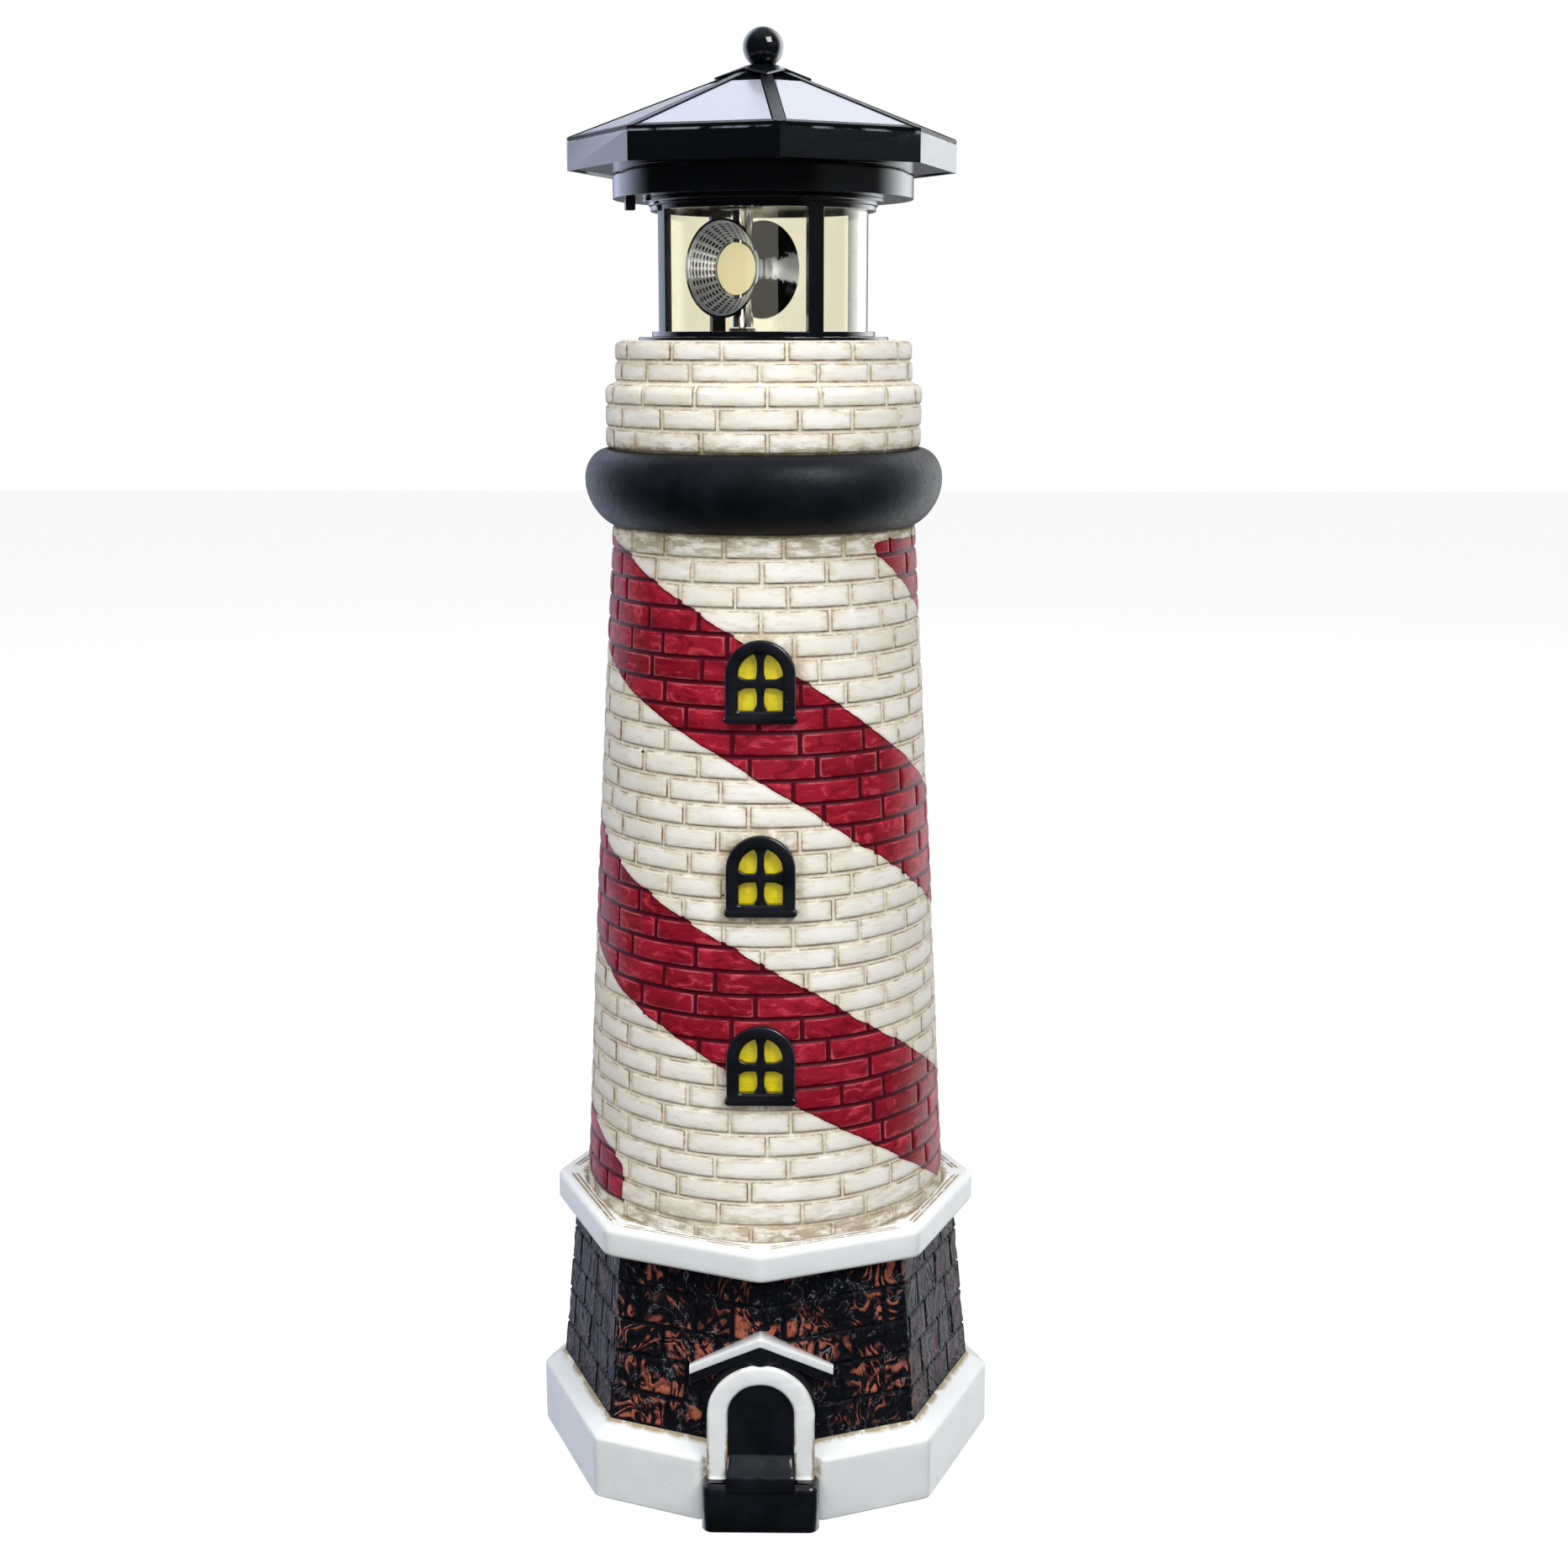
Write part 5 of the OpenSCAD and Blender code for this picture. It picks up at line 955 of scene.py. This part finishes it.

# %% [markdown]
# The base is black with terracotta dragged over the high places of the front
# faces, in short curls. The faces at the sides get a grey-violet drag instead,
# which is painted sheen, and the pale streaks there carry painted sheen too.
# Thin pale lines are painted highlights. The curls are the contour lines of a
# soft noise, cut into patches by another.
# %% Stone paint
def stone_paint():
    """Black; dragged colour between the eighths of a noise's height, in patches: terracotta in front, violet at the
    sides as painted sheen; thin pale lines as painted highlights.
    """
    p = Paint("dry_brushed_stone", rough=0.6, spec=0.06)
    joint, shade, high, side = (p.value(k) for k in ("joint", "shade", "high", "side"))
    grain = p.noise(1.3, 5, 0.7)
    color = p.mix(p.ramp(grain, 0.3, 0.75), (0.003, 0.0035, 0.005), (0.009, 0.0095, 0.013))
    field = p.noise(15, 1.6, 0.45, 1.6, stretch=(1.3, 1.3, 0.8))
    turns = p.math("FRACT", p.math("MULTIPLY", field, 8.0))
    curl = p.math("MULTIPLY", p.ramp(turns, 0.16, 0.42), p.ramp(turns, 0.84, 0.56))
    stroke = p.math("MULTIPLY", p.ramp(curl, 0.25, 0.6), p.ramp(p.noise(3.2, 3, 0.6), 0.38, 0.54))
    patch = p.math("MULTIPLY", p.ramp(p.noise(15, 3, 0.55), 0.44, 0.53), p.ramp(shade, 0.12, 0.3, 0.45, 1.0))
    solid = p.math("MULTIPLY", p.ramp(p.noise(8, 4, 0.6, 0.8), 0.57, 0.63), p.ramp(shade, 0.45, 0.6))
    amount = p.math("MULTIPLY", p.math("MAXIMUM", stroke, solid), patch)
    amount = p.math("MULTIPLY", amount, p.ramp(p.noise(1.1, 4, 0.6), 0.30, 0.5, 0.35, 1))
    amount = p.math("MULTIPLY", amount, p.ramp(joint, 0.5, 1.3))
    clay = p.mix(p.ramp(grain, 0.35, 0.7), (0.33, 0.085, 0.05), (0.50, 0.16, 0.095))
    # On the side faces the dragged colour turns violet: painted sheen.
    drag = p.mix(p.ramp(side, 0.25, 0.85), clay, p.mix(grain, (0.13, 0.085, 0.10), (0.27, 0.20, 0.23)))
    color = p.mix(p.math("MULTIPLY", amount, 0.95), color, drag)
    scratch = p.noise(2.4, 5, 0.75, 0.5, stretch=(1, 1, 0.28))
    # Pale streaks, weak in front and strong on the side faces: scratches with painted sheen.
    grey = p.math("MULTIPLY", p.ramp(scratch, 0.53, 0.62), p.ramp(p.noise(8, 3), 0.40, 0.58, 0.1, 1))
    grey = p.math("MULTIPLY", grey, p.ramp(side, 0.15, 0.95, 0.04, 0.55))
    grey = p.math("MULTIPLY", grey, p.math("MULTIPLY", p.ramp(joint, 0.4, 1.2), p.ramp(shade, 0, 1, 0.4, 1)))
    color = p.mix(grey, color, p.mix(shade, (0.15, 0.115, 0.14), (0.25, 0.215, 0.25)))
    # Thin pale lines along a noise's contours: painted highlights.
    vein = p.noise(9, 3, 0.55, 1.5)
    highlight_lines = p.math("MULTIPLY", p.ramp(vein, 0.492, 0.5), p.ramp(vein, 0.516, 0.508))
    highlight_lines = p.math("MULTIPLY", highlight_lines, p.ramp(p.noise(7, 2), 0.46, 0.56))
    color = p.mix(p.math("MULTIPLY", highlight_lines, 0.4), color, (0.30, 0.31, 0.35))
    bump = p.bump(p.math("ADD", p.math("MULTIPLY", field, 1.5), p.math("MULTIPLY", curl, 0.5)), 0.55)
    return p.finish(color, p.ramp(amount, 0, 1, 0.42, 0.7), bump)


wear(stones, stone_paint())
print("stone paint on", stones.name)

# %% [markdown]
# Black paint on resin is thick and satin, with small white nicks. It shows a
# cool sheen along its upper edges.
# %% Black resin paint
def black_paint(name, rough, nick, coat):
    """Near black with a cool cast, soft brush waves in the bump, and small pale nicks."""
    p = Paint(name, rough=rough, spec=0.2 + 0.4 * coat, coat=coat, Coat_Roughness=0.12)
    grain, wave = p.noise(1.2, 4, 0.7), p.noise(9, 3, 0.5)
    color = p.mix(p.ramp(wave, 0.3, 0.7), (0.0035, 0.0043, 0.0065), (0.008, 0.0092, 0.013))
    cell = p.tree.nodes.new("ShaderNodeTexVoronoi")
    p.put(cell, "Vector", p.coord)
    p.put(cell, "Scale", 1000 / nick)
    pick = p.math("GREATER_THAN", p.node("ShaderNodeSeparateColor", 0, Color=cell.outputs["Color"]), 0.72)
    dot = p.math("MULTIPLY", p.ramp(cell.outputs["Distance"], 0.05, 0.03), pick)
    color = p.mix(p.math("MULTIPLY", dot, 0.75), color, (0.55, 0.56, 0.56))
    bump = p.bump(p.math("ADD", wave, p.math("MULTIPLY", grain, 0.12)), 0.30)
    return p.finish(color, p.ramp(grain, 0.3, 0.8, rough - 0.05, rough + 0.1), bump)


resin_black = black_paint("black_painted_resin", 0.33, 7, 0.5)
for obj in (step, nose, beam, *frames):
    wear(obj, resin_black)
wear(gallery, black_paint("satin_black_resin", 0.46, 9, 0.0))


def enamel():
    """Yellow paint with soft mottling and dark smears where a noise is high."""
    p = Paint("yellow_enamel", rough=0.28, spec=0.5, coat=0.3)
    mottle = p.noise(2.2, 5, 0.65)
    color = p.mix(p.ramp(mottle, 0.35, 0.7), (0.90, 0.76, 0.014), (0.72, 0.58, 0.010))
    color = p.mix(p.ramp(p.noise(6, 3), 0.62, 0.75, 0, 0.5), color, (0.20, 0.15, 0.01))
    return p.finish(color, None, p.bump(mottle, 0.08))


yellow = enamel()
for obj in panes:
    wear(obj, yellow)
print("black and yellow paint ready")

# %% [markdown]
# The moulded lamp parts keep the CAD model's shape. A CAD mesh is made of
# loose triangles with knife-sharp edges. For each part that shows, a copy is
# merged, its flat faces are joined, and a small bevel rounds its edges. The
# works inside the lamp head keep their CAD mesh and take only a weld.
# %% Recast CAD parts
import bmesh


def recast(node, body, slot, material, edge=0.25, segments=2):
    """A merged copy of a CAD node: points closer than 1 micrometre are one, edges over 25 degrees are sharp."""
    bm = bmesh.new()
    bm.from_mesh(NODES[node].data)
    bmesh.ops.remove_doubles(bm, verts=bm.verts, dist=1e-6)
    bmesh.ops.dissolve_limit(bm, angle_limit=np.radians(0.4), verts=bm.verts, edges=bm.edges)
    mesh = bpy.data.meshes.new(node + "_moulded")
    bm.to_mesh(mesh)
    bm.free()
    mesh.polygons.foreach_set("use_smooth", np.ones(len(mesh.polygons), bool))
    mesh.set_sharp_from_angle(angle=np.radians(25))
    obj = bpy.data.objects.new(node + "_moulded", mesh)
    bpy.context.scene.collection.objects.link(obj)
    if edge:
        bevel = obj.modifiers.new("edges", "BEVEL")
        bevel.width, bevel.segments = edge * MM, segments
        bevel.limit_method, bevel.angle_limit = "ANGLE", np.radians(25)
        bevel.use_clamp_overlap = True
        bevel.harden_normals = True
    wear(obj, material)
    return place(obj, body, slot, node)


def soften(node, material):
    """The CAD node stays as it is; a weld joins its triangles, and it wears the material."""
    obj = NODES[node]
    weld = obj.modifiers.new("weld", "WELD")
    weld.merge_threshold = 1e-6
    wear(obj, material)
    return obj


print("CAD nodes:", len(NODES))

# %% [markdown]
# The lamp head is moulded in glossy black plastic. Moulded plastic is never
# quite flat: a very low ripple bends its reflections, and handling leaves fine
# dust and hairline scratches in the gloss.
# %% Black plastic
def plastic(name, color, rough, ripple=0.05):
    """A smooth base, a long ripple and a fine grain in the bump, and dust that dulls the gloss in places."""
    p = Paint(name, rough=rough, spec=0.5, coat=0.35, Coat_Roughness=0.04)
    dust = p.noise(3, 6, 0.75)
    tone = p.mix(p.ramp(dust, 0.55, 0.85, 0, 0.2), color, tuple(min(1, c * 2.2 + 0.012) for c in color))
    bump = p.bump(p.math("ADD", p.noise(14, 2), p.math("MULTIPLY", p.noise(0.5, 2), 0.03)), ripple)
    return p.finish(tone, p.ramp(dust, 0.4, 0.8, rough, rough + 0.12), bump)


def roof_plastic():
    """The black of the roof: glossy on the upright fascia, dull on the ribs above it, with a painted highlight along
    the fascia's top edge.
    """
    p = Paint("roof_black_plastic", rough=0.1, coat=0.35, Coat_Roughness=0.04)
    up = p.ramp(p.xyz("Z"), EAVE_Z - 0.0003, EAVE_Z + 0.0004)
    dust = p.noise(3, 6, 0.75)
    p.put(p.bsdf, "Specular IOR Level", p.ramp(up, 0, 1, 0.5, 0.16))
    p.put(p.bsdf, "Coat Weight", p.ramp(up, 0, 1, 0.35, 0.0))
    tone = p.mix(p.ramp(dust, 0.55, 0.85, 0, 0.2), (0.0028, 0.0032, 0.0045), (0.011, 0.0115, 0.0145))
    # Painted highlight: a pale broken line along the fascia's top edge.
    off = p.math("ABSOLUTE", p.math("SUBTRACT", p.xyz("Z"), EAVE_Z), 0.0)
    edge_highlight = p.math("MULTIPLY", p.ramp(off, 0.0004, 0.0001), p.ramp(p.noise(7, 3), 0.42, 0.56))
    tone = p.mix(p.math("MULTIPLY", edge_highlight, 0.6), tone, (0.30, 0.31, 0.36))
    rough = p.math("ADD", p.ramp(up, 0, 1, 0.10, 0.36), p.ramp(dust, 0.4, 0.8, 0, 0.12))
    return p.finish(tone, rough, p.bump(p.noise(14, 2), 0.05))


EAVE_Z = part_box("roof_frame")[0].z + 0.0074
gloss_black = plastic("gloss_black_plastic", (0.004, 0.0045, 0.006), 0.10)
roof_black = roof_plastic()
matt_black = plastic("matt_black_plastic", (0.010, 0.010, 0.011), 0.42)
for node, edge in (("lamp_base", 0.3), ("lantern_frame", 0.2), ("lantern_cap", 0.25), ("collar_housing", 0.3),
                   ("roof_frame", 0.28), ("apex_cap", 0.12), ("finial_ball", 0)):
    recast(node, "lamp_head", "black_plastic", roof_black if node == "roof_frame" else gloss_black, edge)
recast("switch_knob", "switch", "black_plastic", matt_black, 0.2)
for node in ("lower_bushing", "upper_bushing", "battery_cradle", "switch_body", "motor_plate"):
    soften(node, matt_black)


def panel_glass():
    """Cells under matt glass in pale lavender, a painted reflection of the bright room, with a slow change of tone."""
    p = Paint("solar_cell_glass", rough=0.32, spec=0.4, coat=0.3, Coat_Roughness=0.12)
    # Painted reflection: the pale lavender base colour stands for the room that the cells mirror.
    tone = p.mix(p.noise(20, 3), (0.26, 0.27, 0.32), (0.30, 0.31, 0.36))
    return p.finish(tone, None, p.bump(p.noise(18, 2), 0.03))


glass = panel_glass()
for k in range(1, 9):
    recast(f"solar_panel_{k}", "lamp_head", "solar_cell", glass, 0.12)
print("lamp head dressed")

# %% [markdown]
# The lens is clear plastic. The pieces inside are chrome, cream diffusers with a
# little painted glow, and the plain works of the lamp.
# %% Lens, chrome and works
def clear_lens():
    """Clear, with a warm cast; long faint ripples from the mould."""
    p = Paint("clear_lens_plastic", rough=0.03, spec=0.5, Transmission_Weight=1.0, IOR=1.46)
    return p.finish(p.mix(p.noise(15, 2), (0.95, 0.925, 0.80), (0.94, 0.91, 0.77)), None, p.bump(p.noise(12, 2), 0.02))


def metal(name, color, rough, grain_mm, depth=0.03, stretch=(1, 1, 1)):
    """Bare metal: fine grain in the bump, and roughness that varies with it."""
    p = Paint(name, rough=rough, metal=1.0)
    grain = p.noise(grain_mm, 4, 0.6, stretch=stretch)
    return p.finish(p.mix(grain, color, tuple(c * 0.86 for c in color)), p.ramp(grain, 0.3, 0.8, rough, rough + 0.12), p.bump(grain, depth))


def painted_glow():
    """A cream sheet with a weak emission of its own: painted glow."""
    p = Paint("cream_diffuser", rough=0.4, spec=0.4)
    # Painted glow: the sheet gives off a little light though it is no lamp.
    p.put(p.bsdf, "Emission Color", (1.0, 0.93, 0.66))
    p.put(p.bsdf, "Emission Strength", 0.35)
    return p.finish(p.mix(p.noise(3, 3), (0.90, 0.84, 0.60), (0.86, 0.79, 0.54)), None, p.bump(p.noise(1, 3), 0.04))


chrome = metal("bright_chrome", (0.86, 0.87, 0.90), 0.05, 6)
steel = metal("plain_steel", (0.60, 0.60, 0.62), 0.25, 1.2)
copper = metal("contact_metal", (0.80, 0.62, 0.42), 0.3, 1.0)
cream = painted_glow()
board_green = plastic("green_board", (0.012, 0.10, 0.045), 0.35)
gear_white = plastic("white_gear_plastic", (0.72, 0.72, 0.70), 0.38)
sleeve = plastic("cell_sleeve_green", (0.03, 0.20, 0.09), 0.25)
recast("lens_cylinder", "lamp_head", "clear_lens", clear_lens(), 0.1)
recast("rotor_hub", "rotor", "chrome_plate", chrome, 0.12)
recast("door_leaf", "tower", "black_resin", resin_black, 0.3)
NODE_PAINT = {"diffuser_front": cream, "diffuser_rear": cream, "led_bulb": cream, "led_stem": steel, "motor_shaft": steel,
              "gear_motor": steel, "rotor_gear": gear_white, "motor_pinion": gear_white, "battery_cell": sleeve,
              "battery_contacts": copper, "circuit_board": board_green, "board_parts": matt_black,
              "cap_screws": steel, "roof_screws": steel, "plate_screws": steel, "board_screws": steel}
for node, paint in NODE_PAINT.items():
    soften(node, paint)
print("works dressed:", len(NODE_PAINT))

# %% [markdown]
# Two chromed cups sit back to back on the rotor. The inside of a cup is a
# parabola pressed into small facets, so it breaks a reflection into a grid of
# dots. A facet is a small pillow: its middle stands a few hundredths of a
# millimetre proud of the groove lines. The colour paints the dots in as well:
# painted reflection, dark in each facet and pale in the grooves.
# %% Reflector cups
ROTOR_TURN = np.radians(-45 + LAMP_TURN)
ROTOR_AT = np.array([-5.77, -0.586, ROTOR_Z])


def on_rotor(along, radius, angle, front):
    """Along the cup's level axis, with the radius turned round it; the rear cup faces the other way."""
    turn = ROTOR_TURN + (0 if front else np.pi)
    axis, side = np.array([np.sin(turn), -np.cos(turn), 0]), np.array([np.cos(turn), np.sin(turn), 0])
    p = along[..., None] * axis + (radius * np.cos(angle))[..., None] * side
    p[..., 2] += radius * np.sin(angle)
    return ROTOR_AT + p


def cup(name, front, rings=8, sectors=28, per=8):
    """Bowl r = sqrt(throat^2 + (rim^2 - throat^2) t), pillowed by rings and sectors, then over the rim and back outside."""
    t = np.linspace(0, 1, rings * per + 1)
    angle = np.arange(sectors * per) * 2 * np.pi / (sectors * per)
    inner_r = np.sqrt(7.52**2 + (12.4**2 - 7.52**2) * t)
    inner_u = 2.4 + 6.0 * t
    pillow = (np.abs(np.sin(np.pi * rings * t))[:, None] * np.abs(np.sin(sectors * angle / 2))) ** 0.5
    # The rim counts as groove too, so it takes the pale painted reflection.
    groove = np.maximum(1 - smooth(pillow, 0.58, 0.92), smooth(t, 0.90, 0.93)[:, None])
    fade = smooth(t, 0.0, 0.06) * (1 - smooth(t, 0.93, 0.99))
    bowl = inner_r[:, None] - 0.16 * pillow * fade[:, None]
    rim = np.linspace(0, np.pi, 9)[1:-1]
    rim_r, rim_u = 12.75 - 0.35 * np.cos(rim), 8.4 + 0.25 * np.sin(rim)
    outer_r = np.sqrt(7.52**2 + (12.4**2 - 7.52**2) * t[::-4]) + 0.7
    outer_u = 2.4 + 6.0 * t[::-4]
    plain_r = np.concatenate([rim_r, outer_r, [8.22, 8.22, 8.0, 7.7, 7.56, 7.54]])
    plain_u = np.concatenate([rim_u, outer_u, [1.4, 0.55, 0.42, 0.42, 0.55, 1.4]])
    radius = np.concatenate([bowl, plain_r[:, None] + 0 * angle])
    along = np.concatenate([inner_u, plain_u])[:, None] + 0 * angle
    outer = np.concatenate([0 * groove, 1 + 0 * plain_r[:, None] + 0 * angle])
    upright = np.sin(angle) + 0 * outer
    groove = np.concatenate([groove, 0 * plain_r[:, None] + 0 * angle])
    return surface(name, on_rotor(along, radius, angle + 0 * radius, front), close_rows=True, close_cols=True, flip=False,
                   values={"groove": groove, "outer": outer, "upright": upright})


def facet_chrome():
    """Chrome with painted reflection: dark in the middle of a facet, pale and dull in the grooves between facets and
    on the rim, and a pale painted highlight band round the outside.
    """
    p = Paint("facet_chrome", rough=0.08, metal=1.0)
    groove, outer, grain = p.value("groove"), p.value("outer"), p.noise(2, 4, 0.6)
    tone = p.mix(p.ramp(grain, 0.35, 0.65), (0.03, 0.033, 0.055), (0.14, 0.15, 0.21))
    tone = p.mix(p.ramp(groove, 0.3, 0.75), tone, (0.80, 0.84, 1.0))
    # Painted highlight: a pale band on the outside where it lies level with the cup's axis; the rest of the outside is
    # painted dark.
    level = p.math("ADD", p.math("ABSOLUTE", p.value("upright")), p.math("MULTIPLY", p.noise(1.6, 3, 0.6), 0.5))
    waist_highlight = p.ramp(level, 0.62, 0.48)
    tone = p.mix(outer, tone, p.mix(waist_highlight, (0.02, 0.022, 0.034), (0.74, 0.79, 0.98)))
    dull = p.math("MAXIMUM", groove, p.math("MULTIPLY", outer, waist_highlight))
    return p.finish(tone, p.ramp(dull, 0.2, 0.9, 0.05, 0.4), p.bump(grain, 0.03))


cup_reflection_paint = facet_chrome()
for side, front in (("front", True), ("rear", False)):
    wear(place(cup("reflector_cup_" + side, front), "rotor", "chrome_plate", "reflector_" + side), cup_reflection_paint)

# %% [markdown]
# The camera stands where the photographer stood: a little above the lamp,
# looking down by about 12 degrees. Five large soft lights make the studio: one
# from the right, weaker ones from the left, behind and above, a low one in front.
# Only the first shows in the gloss, because black parts mirror every lamp.
# %% Camera and lights
scene = bpy.context.scene
camera = bpy.data.objects.new("camera", bpy.data.cameras.new("camera"))
scene.collection.objects.link(camera)
camera.location = (0.0137, -0.6057, 0.3195)
camera.rotation_euler = (np.radians(90 - 11.62), 0, np.radians(0.77))
camera.data.lens, camera.data.sensor_width = 50, 36
camera.data.clip_start, camera.data.clip_end = 0.01, 50
scene.camera = camera
scene.view_settings.view_transform = "Standard"


def lamp(name, where, to, size, power, color=(1, 1, 1)):
    """A square area light of a given side that faces a point."""
    light = bpy.data.lights.new(name, "AREA")
    light.size, light.energy, light.color = size, power, color
    obj = bpy.data.objects.new(name, light)
    scene.collection.objects.link(obj)
    obj.location = where
    away = np.array(where) - np.array(to)
    obj.rotation_euler = (np.arctan2(np.hypot(away[0], away[1]), away[2]), 0, np.arctan2(away[0], -away[1]))
    return obj


lamp("key", (0.80, -0.9, 1.25), (0, 0, 0.2), 0.7, 18)
fill = lamp("fill", (-0.9, -0.8, 1.15), (0, 0, 0.2), 0.8, 12)
top = lamp("top", (0, -0.3, 1.5), (0, 0, 0.2), 0.8, 8)
low = lamp("low", (0, -1.3, 0.25), (0, 0, 0.12), 0.8, 5)
back = lamp("back", (0.3, 1.3, 1.1), (0, 0, 0.2), 0.9, 9)
for light in (fill, top, low, back):
    light.visible_glossy = False
print("camera", [round(v, 4) for v in camera.location])

# %% [markdown]
# The table and the backdrop are one pale floor. It carries only a faint
# contact shadow, as in a studio picture.
# %% Floor
def floor_paint():
    """Mostly its own light, so the page stays white and only a faint shadow is left."""
    p = Paint("pale_floor", rough=0.7, spec=0.0)
    p.put(p.bsdf, "Emission Color", (1, 1, 1))
    p.put(p.bsdf, "Emission Strength", 0.93)
    return p.finish((0.16, 0.16, 0.16))


mesh = bpy.data.meshes.new("studio_floor")
mesh.from_pydata([(-4, -4, 0), (4, -4, 0), (4, 4, 0), (-4, 4, 0)], [], [(0, 1, 2, 3)])
floor = bpy.data.objects.new("studio_floor", mesh)
scene.collection.objects.link(floor)
wear(floor, floor_paint())

floor.visible_glossy = floor.visible_diffuse = False


def studio_world():
    """White for the camera and through the lens; for the gloss a dark room with bright walls behind and beside."""
    world = bpy.data.worlds.new("studio")
    if hasattr(world, "cycles"):
        world.cycles.sampling_method = "NONE"
    scene.world = world
    world.use_nodes = True
    tree = world.node_tree
    link = tree.links.new
    out = tree.nodes["World Output"]
    room = tree.nodes["Background"]
    page = tree.nodes.new("ShaderNodeBackground")
    page.inputs["Color"].default_value = (1, 1, 1, 1)
    way = tree.nodes.new("ShaderNodeSeparateXYZ")
    link(tree.nodes.new("ShaderNodeTexCoord").outputs["Generated"], way.inputs[0])

    def ramp(value, low, high, to_low, to_high):
        n = tree.nodes.new("ShaderNodeMapRange")
        n.interpolation_type = "SMOOTHSTEP"
        link(value, n.inputs[0])
        for k, v in enumerate((low, high, to_low, to_high)):
            n.inputs[k + 1].default_value = v
        return n.outputs[0]

    def math(how, a, b):
        n = tree.nodes.new("ShaderNodeMath")
        n.operation = how
        for k, v in enumerate((a, b)):
            if isinstance(v, bpy.types.NodeSocket):
                link(v, n.inputs[k])
            else:
                n.inputs[k].default_value = v
        return n.outputs[0]

    path = tree.nodes.new("ShaderNodeLightPath")
    x, y, z = (way.outputs[k] for k in "XYZ")
    sides = math("ADD", ramp(x, 0.15, 0.75, 0.15, 3.3), ramp(x, -0.15, -0.6, 0.0, 1.6))
    wall = math("MULTIPLY", ramp(y, 0.05, 0.65, 0.0, 1.0), sides)
    sky = math("MULTIPLY", ramp(y, 0.2, 0.6, 0.0, 1.0), math("MULTIPLY", ramp(z, 0.22, 0.40, 0.0, 2.0), ramp(z, 0.80, 0.62, 0.0, 1.0)))
    card = math("MULTIPLY", ramp(x, 0.55, 0.8, 0.0, 0.16), math("MULTIPLY", ramp(z, -0.02, 0.12, 0, 1), ramp(z, 0.5, 0.3, 0, 1)))
    ceiling = ramp(z, 0.55, 0.95, 0.02, 0.3)
    mirror = math("ADD", math("MAXIMUM", math("MAXIMUM", wall, sky), card), ceiling)
    steady = math("ADD", ramp(z, -0.6, 0.8, 0.05, 0.03), math("MULTIPLY", ramp(math("ABSOLUTE", x, 0.0), 0.6, 0.95, 0.0, 0.16), ramp(z, 0.45, 0.1, 0, 1)))
    soft = math("MULTIPLY", path.outputs["Is Diffuse Ray"], 1.0)
    mix = tree.nodes.new("ShaderNodeMix")
    link(soft, mix.inputs[0])
    link(mirror, mix.inputs[2])
    link(steady, mix.inputs[3])
    link(mix.outputs[0], room.inputs["Strength"])
    through = math("MULTIPLY", path.outputs["Is Transmission Ray"], math("LESS_THAN", path.outputs["Glossy Depth"], 0.5))
    seen = math("MAXIMUM", path.outputs["Is Camera Ray"], through)
    tint = tree.nodes.new("ShaderNodeMix")
    tint.data_type = "RGBA"
    link(ramp(x, -0.5, 0.3, 0.0, 1.0), tint.inputs[0])
    tint.inputs[6].default_value = (0.80, 0.87, 1.12, 1)
    tint.inputs[7].default_value = (0.95, 0.98, 1.0, 1)
    warm = tree.nodes.new("ShaderNodeMix")
    warm.data_type = "RGBA"
    link(soft, warm.inputs[0])
    link(tint.outputs[2], warm.inputs[6])
    warm.inputs[7].default_value = (1, 1, 1, 1)
    link(warm.outputs[2], room.inputs["Color"])
    pick = tree.nodes.new("ShaderNodeMixShader")
    link(seen, pick.inputs[0])
    link(room.outputs[0], pick.inputs[1])
    link(page.outputs[0], pick.inputs[2])
    link(pick.outputs[0], out.inputs["Surface"])


studio_world()
print("studio ready")
